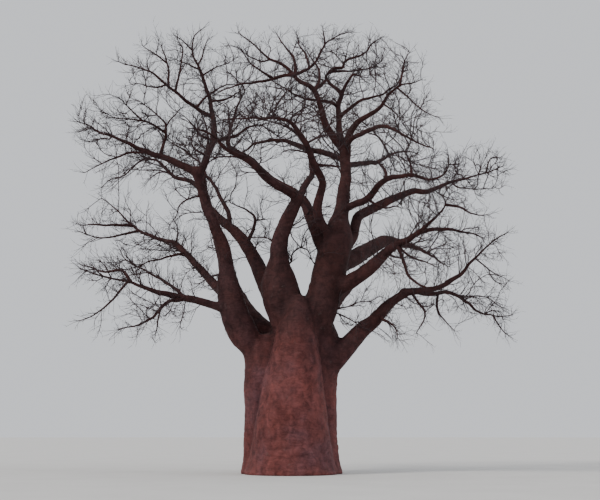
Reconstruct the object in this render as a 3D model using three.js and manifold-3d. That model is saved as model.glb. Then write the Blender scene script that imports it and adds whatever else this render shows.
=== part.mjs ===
// A bare baobab in the dry season, rooted in level ground.
//
// Millimetres, +Z up. The origin is the middle of the flat cut under the trunk,
// where it meets the ground. The tree is seen from -Y in its usual view, with
// +X to the right.
//
// Sizes in the tables below are in metres and degrees, as one would note them
// under the tree; M turns them into millimetres.

import * as THREE from 'three';
import { mergeVertices } from 'three/addons/utils/BufferGeometryUtils.js';
import Module from 'manifold-3d';

const wasm = await Module();
wasm.setup();

// ---------------------------------------------------------------- main sizes
const M = 1000;                    // millimetres in a metre
const TREE_HEIGHT = 18.05;         // ground to the highest twig
const GAP = 0.4;                   // clearance of a bough at what it grows from, mm
const MASS_GAP = 15;               // clearance round a mass of twigs, mm
const BOUGH_SIDES = 6;             // faces round a stout bough
const SLENDER_SIDES = 5;           // and round one that is slender
const SLENDER = 0.13;              // radius at the middle that counts as slender, m
const TRUNK_SIDES = 28;            // faces round the trunk

// Trunk: height, half width (X), half depth (Y), lean of its middle in X and in Y.
const TRUNK_RINGS = [
  [0.00, 2.02, 1.92, 0.03, -0.02],
  [0.30, 1.93, 1.86, 0.03, -0.02],
  [0.80, 1.80, 1.76, 0.01, -0.02],
  [1.60, 1.73, 1.70, -0.02, -0.03],
  [2.60, 1.70, 1.67, -0.02, -0.04],
  [3.60, 1.76, 1.68, 0.06, -0.05],
  [4.50, 1.85, 1.70, 0.10, -0.05],
  [5.20, 1.84, 1.66, 0.14, -0.04],
  [5.90, 1.62, 1.52, 0.24, 0.00],
  [6.50, 1.36, 1.30, 0.32, 0.05],
  [7.00, 1.02, 1.00, 0.38, 0.08],
  [7.35, 0.55, 0.55, 0.42, 0.10],
];
// Long creases between the columns that the trunk is grown together from:
// bearing at the ground, bearing at the fork, depth as a share, width in degrees.
const TRUNK_CREASES = [
  [218, 243, 0.15, 11],
  [330, 301, 0.14, 11],
  [28, 38, 0.11, 13],
  [94, 88, 0.13, 13],
  [158, 146, 0.11, 13],
];

// Boughs. Each is one tapering limb: where it leaves its parent (a place on the
// trunk in metres, or a share of the parent's length), its length, its bearing
// (0 is +X, 90 is +Y) and how far that turns, its climb above the level and how
// that changes and curls back, and its radius at the foot, middle and tip.
const BOUGHS = {
  bough_left:               [[-0.92, 0.15, 3.99], 8.2, [-169, 32], [45, 115, -107], [0.797, 0.363, 0.169]],
  bough_left_wing:          [['bough_left', 0.98], 4.8, [-173, 9], [31, -42, 37], [0.157, 0.103, 0.034]],
  bough_left_crest:         [['bough_left', 0.98], 6.9, [1, 259], [74, -46, 65], [0.144, 0.101, 0.028]],
  bough_left_shoulder:      [['bough_left_crest', 0.40], 4.3, [-143, -16], [4, 126, -137], [0.081, 0.063, 0.025]],
  bough_left_arm:           [['bough_left', 0.40], 7.3, [148, 22], [43, -41, 39], [0.167, 0.104, 0.041]],
  bough_left_low:           [['bough_left', 0.32], 6.2, [-155, -3], [8, 9, -4], [0.195, 0.105, 0.031]],
  bough_left_skirt:         [['bough_left_low', 0.33], 5.2, [-112, 5], [-8, -74, 81], [0.083, 0.058, 0.024]],
  bough_middle:             [[0.08, -0.25, 5.04], 5.7, [152, 222], [71, 20, -36], [0.547, 0.53, 0.184]],
  bough_front_left:         [['bough_middle', 1.00], 6.4, [-132, 10], [16, 15, -32], [0.175, 0.128, 0.045]],
  bough_far_heart:          [['bough_middle', 1.00], 8.6, [63, 90], [39, 50, -86], [0.153, 0.092, 0.049]],
  bough_left_far:           [['bough_middle', 0.20], 13.5, [131, 27], [39, 102, -179], [0.36, 0.177, 0.054]],
  bough_left_slender:       [['bough_left_far', 0.37], 6.5, [112, 41], [60, -27, -1], [0.102, 0.076, 0.045]],
  bough_right:              [[0.62, -0.20, 4.74], 8.2, [-13, 38], [72, 8, 9], [0.546, 0.57, 0.164]],
  bough_crossing:           [['bough_right', 0.45], 10.8, [175, -76], [65, -115, 155], [0.305, 0.127, 0.052]],
  bough_crown_peak:         [['bough_right', 0.97], 6.2, [177, -199], [68, 60, -148], [0.131, 0.093, 0.031]],
  bough_crown_top:          [['bough_right', 0.97], 6.5, [-153, -22], [63, -29, -9], [0.156, 0.107, 0.033]],
  bough_right_crest:        [['bough_right', 0.98], 4.2, [-44, 41], [72, -111, 72], [0.135, 0.097, 0.033]],
  bough_front_shoulder:     [['bough_right', 0.98], 6.2, [-62, 4], [35, -160, 96], [0.106, 0.084, 0.032]],
  bough_far_middle:         [['bough_right', 0.93], 8.7, [125, 10], [27, -11, -25], [0.115, 0.11, 0.045]],
  bough_far_right:          [['bough_right', 0.90], 7.2, [63, -7], [11, 41, -42], [0.118, 0.09, 0.048]],
  bough_front:              [['bough_right', 0.50], 9.1, [-103, -36], [44, 38, -128], [0.2, 0.132, 0.038]],
  bough_right_wing:         [['bough_right', 0.45], 8.8, [39, -41], [62, -115, 72], [0.165, 0.142, 0.039]],
  bough_front_right:        [['bough_right', 0.67], 6.8, [-54, -5], [24, -76, 53], [0.147, 0.111, 0.034]],
  bough_right_arm:          [['bough_right', 0.30], 6.5, [-25, -32], [13, 35, -12], [0.263, 0.164, 0.047]],
  bough_far_arm:            [['bough_right', 0.35], 9.9, [53, -3], [35, -41, -19], [0.29, 0.17, 0.051]],
  bough_right_low:          [[0.70, 0.30, 3.24], 5.2, [-12, 5], [45, 3, -7], [0.561, 0.367, 0.155]],
  bough_right_low_outer:    [['bough_right_low', 1.00], 4.8, [1, -1], [-8, 148, -105], [0.153, 0.082, 0.029]],
  bough_right_tip:          [['bough_right_low_outer', 0.03], 6.0, [41, -7], [18, -112, 98], [0.094, 0.079, 0.028]],
  bough_far_left:           [[-0.47, 0.60, 4.96], 14.3, [144, -54], [34, 84, -56], [0.578, 0.256, 0.068]],
  bough_far_back:           [[0.31, 0.90, 4.83], 13.5, [56, 43], [49, 9, 16], [0.547, 0.234, 0.074]],
  bough_far_low_right:      [[0.70, 0.80, 5.13], 9.7, [53, -5], [53, -56, 28], [0.518, 0.213, 0.066]],
  bough_far_low_left:       [[-0.71, 0.60, 4.33], 10.1, [126, 18], [44, -5, -14], [0.461, 0.204, 0.066]],
};

// Masses of twigs: middle, half sizes (X, Y, Z) and lean about Y in degrees.
const MASSES = {
  twigs_left_crest:        [[-4.0, -0.2, 16.3], [1.71, 2.7, 1.61], 0],
  twigs_left_shoulder:     [[-5.7, -2.0, 14.5], [1.71, 2.5, 1.29], 15],
  twigs_left_wing:         [[-7.2, -1.2, 13.0], [1.73, 2.6, 1.30], 12],
  twigs_left_far:          [[-6.2, 4.4, 13.5], [2.25, 2.5, 1.58], 0],
  twigs_left_arm:          [[-7.4, 1.5, 10.3], [2.00, 2.5, 1.20], 8],
  twigs_left_low:          [[-6.8, -1.3, 7.6], [1.84, 2.4, 1.03], 4],
  twigs_left_skirt:        [[-5.1, -4.2, 5.8], [1.47, 2.1, 0.88], -12],
  twigs_left_inner:        [[-2.2, 2.4, 15.7], [1.99, 2.6, 1.61], 0],
  twigs_crown_top:         [[-1.1, -1.8, 15.7], [1.80, 2.6, 1.26], -8],
  twigs_crown_peak:        [[1.9, 0.8, 16.9], [2.11, 2.7, 1.43], 0],
  twigs_right_crest:       [[3.9, -1.4, 15.1], [1.65, 2.6, 1.47], 8],
  twigs_front_heart:       [[0.6, -4.9, 12.7], [2.02, 2.5, 1.41], 0],
  twigs_front_left:        [[-2.8, -5.1, 11.7], [1.63, 2.4, 1.25], 0],
  twigs_front_shoulder:    [[4.0, -4.4, 12.1], [1.66, 2.2, 1.05], 0],
  twigs_front_right:       [[5.0, -5.2, 10.3], [1.47, 2.1, 0.94], 0],
  twigs_right_wing:        [[7.6, 1.6, 12.2], [1.75, 2.6, 1.39], -8],
  twigs_right_arm:         [[5.6, -3.3, 9.0], [1.46, 2.1, 1.14], 0],
  twigs_right_low:         [[7.6, -0.2, 8.6], [1.49, 2.2, 1.23], -18],
  twigs_right_tip:         [[7.6, 1.8, 6.6], [1.81, 2.2, 1.11], 8],
  twigs_right_skirt:       [[4.0, -1.3, 5.0], [0.87, 1.6, 1.02], 0],
  twigs_far_left:          [[-3.9, 6.0, 15.5], [2.15, 2.3, 1.65], 0],
  twigs_far_back:          [[0.3, 6.4, 16.2], [2.27, 2.2, 1.66], 0],
  twigs_far_right:         [[4.5, 4.8, 15.6], [2.10, 2.4, 1.60], 0],
  twigs_far_arm:           [[5.6, 6.0, 12.5], [2.03, 2.3, 1.53], 0],
  twigs_far_low_right:     [[6.4, 5.4, 9.7], [1.79, 2.1, 1.22], 0],
  twigs_far_low_left:      [[-6.0, 5.6, 9.7], [2.09, 2.3, 1.41], 0],
  twigs_crown_back:        [[1.5, 3.5, 15.9], [2.32, 2.2, 1.56], 0],
};
const MASS_DETAIL = 2;             // fineness of a mass's facets
const SMALL_MASS = 1.0;            // half width below which facets are coarser, m
const MASS_LUMPS = 14;             // swellings and dips on each mass
const LUMP_HEIGHT = 0.30;          // their height, as a share of the mass's size
const RAGGEDNESS = 0.055;          // how far single corners stand out or in
const UNDERSIDE = 0.82;            // masses are flatter below than above
const LOWEST_TWIG = 0.05;          // nothing hangs lower than this over the ground, m

// ------------------------------------------------------------------- helpers
const rad = THREE.MathUtils.degToRad;

// A repeatable run of numbers from 0 to 1.
function dice(seed) {
  let a = (seed * 2654435761) >>> 0;
  return () => {
    a = (a + 0x6d2b79f5) >>> 0;
    let t = Math.imul(a ^ (a >>> 15), a | 1);
    t = (t + Math.imul(t ^ (t >>> 7), t | 61)) ^ t;
    return ((t ^ (t >>> 14)) >>> 0) / 4294967296;
  };
}

function toSolid(geometry) {
  const g = geometry.clone();
  for (const name of Object.keys(g.attributes)) if (name !== 'position') g.deleteAttribute(name);
  const merged = mergeVertices(g, 1e-4);
  return new wasm.Manifold(new wasm.Mesh({
    numProp: 3,
    vertProperties: new Float32Array(merged.attributes.position.array),
    triVerts: new Uint32Array(merged.index.array),
  }));
}

function toGeometry(solid) {
  const mesh = solid.getMesh();
  const g = new THREE.BufferGeometry();
  g.setAttribute('position', new THREE.BufferAttribute(new Float32Array(mesh.vertProperties), 3));
  g.setIndex(new THREE.BufferAttribute(new Uint32Array(mesh.triVerts), 1));
  g.computeVertexNormals();
  return g;
}

// A closed skin over rings of points, each end shut by a fan round its middle.
function skin(rings, firstMiddle, lastMiddle) {
  const sides = rings[0].length;
  const points = [];
  for (const ring of rings) for (const p of ring) points.push(p.x, p.y, p.z);
  points.push(firstMiddle.x, firstMiddle.y, firstMiddle.z, lastMiddle.x, lastMiddle.y, lastMiddle.z);
  const first = rings.length * sides;
  const last = first + 1;
  const faces = [];
  for (let k = 0; k + 1 < rings.length; k += 1) {
    for (let j = 0; j < sides; j += 1) {
      const a = k * sides + j;
      const b = k * sides + (j + 1) % sides;
      faces.push(a, b, b + sides, a, b + sides, a + sides);
    }
  }
  const top = (rings.length - 1) * sides;
  for (let j = 0; j < sides; j += 1) {
    faces.push(first, (j + 1) % sides, j);
    faces.push(last, top + j, top + (j + 1) % sides);
  }
  const g = new THREE.BufferGeometry();
  g.setAttribute('position', new THREE.Float32BufferAttribute(points, 3));
  g.setIndex(faces);
  return g;
}

// -------------------------------------------------------------------- trunk
function trunkRadius(height, bearing, halfX, halfY) {
  const c = Math.cos(rad(bearing)) / halfX;
  const s = Math.sin(rad(bearing)) / halfY;
  let r = 1 / Math.hypot(c, s);
  const share = Math.min(height / 5.6, 1);
  for (const [atGround, atFork, depth, width] of TRUNK_CREASES) {
    const at = atGround + (atFork - atGround) * share;
    const off = ((bearing - at + 540) % 360) - 180;
    r *= 1 - depth * Math.exp(-((off / width) ** 2));
  }
  return r;
}

function trunk(grow) {
  const rings = TRUNK_RINGS.map(([z, hx, hy, cx, cy]) => {
    const ring = [];
    for (let j = 0; j < TRUNK_SIDES; j += 1) {
      const bearing = (360 * j) / TRUNK_SIDES;
      const r = trunkRadius(z, bearing, hx, hy) * M + grow;
      ring.push(new THREE.Vector3(
        cx * M + r * Math.cos(rad(bearing)), cy * M + r * Math.sin(rad(bearing)), z * M));
    }
    return ring;
  });
  const [zb, , , xb, yb] = TRUNK_RINGS[0];
  const [zt, , , xt, yt] = TRUNK_RINGS[TRUNK_RINGS.length - 1];
  return skin(rings, new THREE.Vector3(xb * M, yb * M, zb * M),
    new THREE.Vector3(xt * M, yt * M, (zt + 0.12) * M + grow));
}

// ------------------------------------------------------------------- boughs
class BoughCurve extends THREE.Curve {
  constructor(foot, length, bearing, climb) {
    super();
    const steps = 60;
    this.points = [foot.clone()];
    for (let i = 0; i < steps; i += 1) {
      const s = (i + 0.5) / steps;
      const b = rad(bearing[0] + bearing[1] * s);
      const c = rad(climb[0] + climb[1] * s + climb[2] * s * s);
      const step = new THREE.Vector3(
        Math.cos(c) * Math.cos(b), Math.cos(c) * Math.sin(b), Math.sin(c));
      this.points.push(this.points[i].clone().addScaledVector(step, (length * M) / steps));
    }
  }

  getPoint(t, target = new THREE.Vector3()) {
    const x = THREE.MathUtils.clamp(t, 0, 1) * (this.points.length - 1);
    const i = Math.min(Math.floor(x), this.points.length - 2);
    return target.lerpVectors(this.points[i], this.points[i + 1], x - i);
  }
}

// Foot, middle and tip radius joined by one smooth taper.
function taper([foot, middle, tip], s) {
  const [a, b, c] = [Math.log(foot), Math.log(middle), Math.log(tip)];
  return Math.exp(a * (1 - s) * (1 - 2 * s) + 4 * b * s * (1 - s) + c * s * (2 * s - 1));
}

function limb(curve, length, radii, grow) {
  const sides = radii[1] < SLENDER ? SLENDER_SIDES : BOUGH_SIDES;
  const steps = Math.max(4, Math.min(7, Math.round(length * 0.72)));
  const frames = curve.computeFrenetFrames(steps, false);
  const rings = [];
  for (let k = 0; k <= steps; k += 1) {
    const s = k / steps;
    const middle = curve.getPoint(s);
    const r = taper(radii, s) * M + grow;
    const ring = [];
    for (let j = 0; j < sides; j += 1) {
      const a = (2 * Math.PI * j) / sides;
      ring.push(middle.clone()
        .addScaledVector(frames.normals[k], r * Math.cos(a))
        .addScaledVector(frames.binormals[k], r * Math.sin(a)));
    }
    rings.push(ring);
  }
  const end = curve.getPoint(1).addScaledVector(frames.tangents[steps], taper(radii, 1) * M + grow);
  const start = curve.getPoint(0).addScaledVector(frames.tangents[0], -grow);
  return skin(rings, start, end);
}

// ------------------------------------------------------------------- masses
function mass([cx, cy, cz], [hx, hy, hz], lean, seed, grow) {
  const roll = dice(seed);
  const lumps = [];
  for (let i = 0; i < MASS_LUMPS; i += 1) {
    const z = 2 * roll() - 1;
    const a = 2 * Math.PI * roll();
    const w = Math.sqrt(1 - z * z);
    lumps.push([new THREE.Vector3(w * Math.cos(a), w * Math.sin(a), z),
      LUMP_HEIGHT * (2 * roll() - 0.85), 4 + 8 * roll()]);
  }
  const g = new THREE.IcosahedronGeometry(1, hx < SMALL_MASS ? MASS_DETAIL - 1 : MASS_DETAIL);
  g.deleteAttribute('normal');
  g.deleteAttribute('uv');
  const body = mergeVertices(g, 1e-5);
  const at = body.attributes.position;
  const p = new THREE.Vector3();
  const up = new THREE.Vector3(0, 1, 0);
  for (let i = 0; i < at.count; i += 1) {
    p.fromBufferAttribute(at, i).normalize();
    let r = 0.97 + RAGGEDNESS * (2 * roll() - 1);
    for (const [dir, height, sharp] of lumps) r += height * Math.exp(-sharp * (1 - p.dot(dir)));
    p.multiplyScalar(THREE.MathUtils.clamp(r, 0.7, 1.14));
    if (p.z < 0) p.z *= UNDERSIDE;
    p.set(p.x * hx * M, p.y * hy * M, p.z * hz * M);
    p.multiplyScalar(1 + grow / p.length());
    p.applyAxisAngle(up, -rad(lean));
    p.add(new THREE.Vector3(cx * M, cy * M, cz * M));
    p.z = Math.min(Math.max(p.z, LOWEST_TWIG * M), TREE_HEIGHT * M);
    at.setXYZ(i, p.x, p.y, p.z);
  }
  return body;
}

// ----------------------------------------------------------------- assembly
function bark(shade) {
  return new THREE.MeshStandardMaterial({ color: shade, roughness: 0.85, metalness: 0 });
}

function overlaps(a, b) {
  const p = a.boundingBox();
  const q = b.boundingBox();
  for (let i = 0; i < 3; i += 1) if (p.min[i] > q.max[i] || q.min[i] > p.max[i]) return false;
  return true;
}

// What is left of a solid after its neighbours are cut away: the piece at its foot.
function keep(solid, others, foot, smoothing = 0.05) {
  let left = solid;
  for (const other of others) if (overlaps(left, other)) left = left.subtract(other);
  const pieces = left.decompose().filter((piece) => piece.volume() > 1e5);
  if (pieces.length === 0) return null;
  let best = null;
  let nearest = Infinity;
  for (const piece of pieces) {
    let d = -piece.volume();
    if (foot) {
      const v = piece.getMesh().vertProperties;
      d = Infinity;
      for (let i = 0; i < v.length; i += 3) {
        d = Math.min(d, Math.hypot(v[i] - foot.x, v[i + 1] - foot.y, v[i + 2] - foot.z));
      }
    }
    if (d < nearest) { nearest = d; best = piece; }
  }
  return best.simplify(smoothing);
}

const tree = new THREE.Group();

function add(name, geometry, material) {
  const mesh = new THREE.Mesh(geometry, material);
  mesh.name = name;
  tree.add(mesh);
}

const trunkSolid = toSolid(trunk(0));
const trunkGrown = toSolid(trunk(GAP));
add('trunk', toGeometry(trunkSolid), bark(0x6b4a48));

const massGrown = [];
Object.entries(MASSES).forEach(([name, [middle, half, lean]], index) => {
  const solid = toSolid(mass(middle, half, lean, index + 11, 0));
  const piece = keep(solid, [trunkGrown, ...massGrown], null, MASS_GAP / 2);
  massGrown.push(toSolid(mass(middle, half, lean, index + 11, MASS_GAP * 1.6)));
  add(name, toGeometry(piece), bark(0x4a3a3c));
});

const curves = {};
const grown = [trunkGrown];
for (const [name, [from, length, bearing, climb, radii]] of Object.entries(BOUGHS)) {
  const foot = typeof from[0] === 'string'
    ? curves[from[0]].getPoint(from[1])
    : new THREE.Vector3(...from).multiplyScalar(M);
  curves[name] = new BoughCurve(foot, length, bearing, climb);
  const piece = keep(toSolid(limb(curves[name], length, radii, 0)), [...grown, ...massGrown], foot);
  grown.push(toSolid(limb(curves[name], length, radii, GAP)));
  if (piece) add(name, toGeometry(piece), bark(0x55403f));
}

export default tree;
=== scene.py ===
import math

import bpy
import numpy as np
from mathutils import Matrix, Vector, kdtree
from mathutils.bvhtree import BVHTree


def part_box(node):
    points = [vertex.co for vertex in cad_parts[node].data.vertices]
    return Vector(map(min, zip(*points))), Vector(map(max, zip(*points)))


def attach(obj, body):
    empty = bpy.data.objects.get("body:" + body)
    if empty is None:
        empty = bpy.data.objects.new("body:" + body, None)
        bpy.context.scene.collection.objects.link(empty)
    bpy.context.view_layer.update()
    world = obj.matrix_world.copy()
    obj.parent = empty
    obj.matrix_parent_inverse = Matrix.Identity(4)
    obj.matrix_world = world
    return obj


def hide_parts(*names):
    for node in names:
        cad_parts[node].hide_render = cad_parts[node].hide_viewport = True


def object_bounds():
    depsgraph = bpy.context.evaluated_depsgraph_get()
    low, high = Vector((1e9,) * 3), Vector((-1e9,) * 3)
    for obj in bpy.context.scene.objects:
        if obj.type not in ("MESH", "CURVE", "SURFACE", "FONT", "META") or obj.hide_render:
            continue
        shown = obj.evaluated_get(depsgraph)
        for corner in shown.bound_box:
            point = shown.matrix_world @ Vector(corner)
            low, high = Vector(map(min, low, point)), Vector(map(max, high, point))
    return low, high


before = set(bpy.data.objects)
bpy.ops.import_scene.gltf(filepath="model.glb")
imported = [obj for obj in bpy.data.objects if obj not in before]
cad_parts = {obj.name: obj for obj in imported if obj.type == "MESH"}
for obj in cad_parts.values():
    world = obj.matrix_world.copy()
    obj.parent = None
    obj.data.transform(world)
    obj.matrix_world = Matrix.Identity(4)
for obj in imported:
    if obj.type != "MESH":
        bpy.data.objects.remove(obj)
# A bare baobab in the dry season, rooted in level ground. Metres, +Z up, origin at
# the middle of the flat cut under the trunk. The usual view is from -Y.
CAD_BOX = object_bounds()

rng = np.random.default_rng(20417)

# ------------------------------------------------------------------ the camera
EYE = (0.31, -40.0, 1.5)            # a standing viewer's eye, 40 m from the trunk
PITCH = 10.055                      # looking a little up, degrees
LENS = 62.15                        # on a 36 mm wide frame

cam_data = bpy.data.cameras.new("view")
cam_data.sensor_width = 36.0
cam_data.lens = LENS
cam_data.clip_end = 2000.0
cam = bpy.data.objects.new("view", cam_data)
bpy.context.collection.objects.link(cam)
cam.location = EYE
cam.rotation_euler = (math.radians(90.0 + PITCH), 0.0, 0.0)
bpy.context.scene.camera = cam

# --------------------------------------------------------------- named sizes
# The columns that the trunk is grown together from. Each row: middle (x, y) and
# radius at the ground, half way up and at the fork, and the height it ends at.
COLUMNS = {
    "front": ((-0.03, -0.24, 1.64), (0.03, -0.50, 1.24), (0.20, -0.74, 0.74), 6.75),
    "left":  ((-1.00, 0.28, 0.84), (-0.96, 0.32, 0.86), (-0.92, 0.20, 0.98), 5.35),
    "right": ((1.04, 0.32, 0.80), (0.93, 0.38, 0.78), (1.06, 0.30, 0.88), 5.9),
    "far_left": ((-0.62, 0.96, 0.92), (-0.56, 0.94, 0.86), (-0.46, 0.80, 0.82), 5.7),
    "far_right": ((0.70, 0.94, 0.92), (0.66, 0.92, 0.86), (0.76, 0.82, 0.84), 5.8),
    "far": ((0.04, 1.08, 0.82), (0.06, 1.04, 0.76), (0.22, 0.92, 0.70), 5.9),
}
COLUMN_KNIT = 0.07                  # how softly two columns run together
CORE = ((0.0, 1.20), (4.4, 1.15), (5.6, 0.75), (6.1, 0.0))
FLARE = (0.13, 0.34)                # root flare: how far out, and over what height
FORK_HEIGHT = 5.5                   # where the columns start to part into boughs

# Boughs: where each leaves its parent (a place on the trunk, or a share of the
# parent's length), length, bearing and its turn, climb, its change and its curl,
# radius at foot, middle and tip. 0 degrees is +X and 90 is +Y.
BOUGHS = {
    "bough_middle": ((0.08, -0.25, 5.04), 5.7, (152, 222), (71, 20, -36), (0.44, 0.38, 0.215)),
    "bough_right": ((0.62, -0.20, 4.74), 8.2, (-13, 38), (72, 8, 9), (0.36, 0.31, 0.2)),
    "bough_right_low": ((0.66, 0.30, 3.29), 5.2, (-12, 5), (45, 3, -7), (0.50, 0.35, 0.155)),
    "bough_far_low_right": ((0.70, 0.80, 5.13), 9.7, (53, -5), (53, -56, 28), (0.518, 0.213, 0.066)),
}
# The three great boughs are much stouter below: how much, how far along, over what.
SHOULDERS = {
    "bough_left": (0.27, 3.70, 0.26),
    "bough_middle": (0.37, 2.62, 0.25),
    "bough_right": (0.33, 4.90, 0.24),
}
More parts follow.
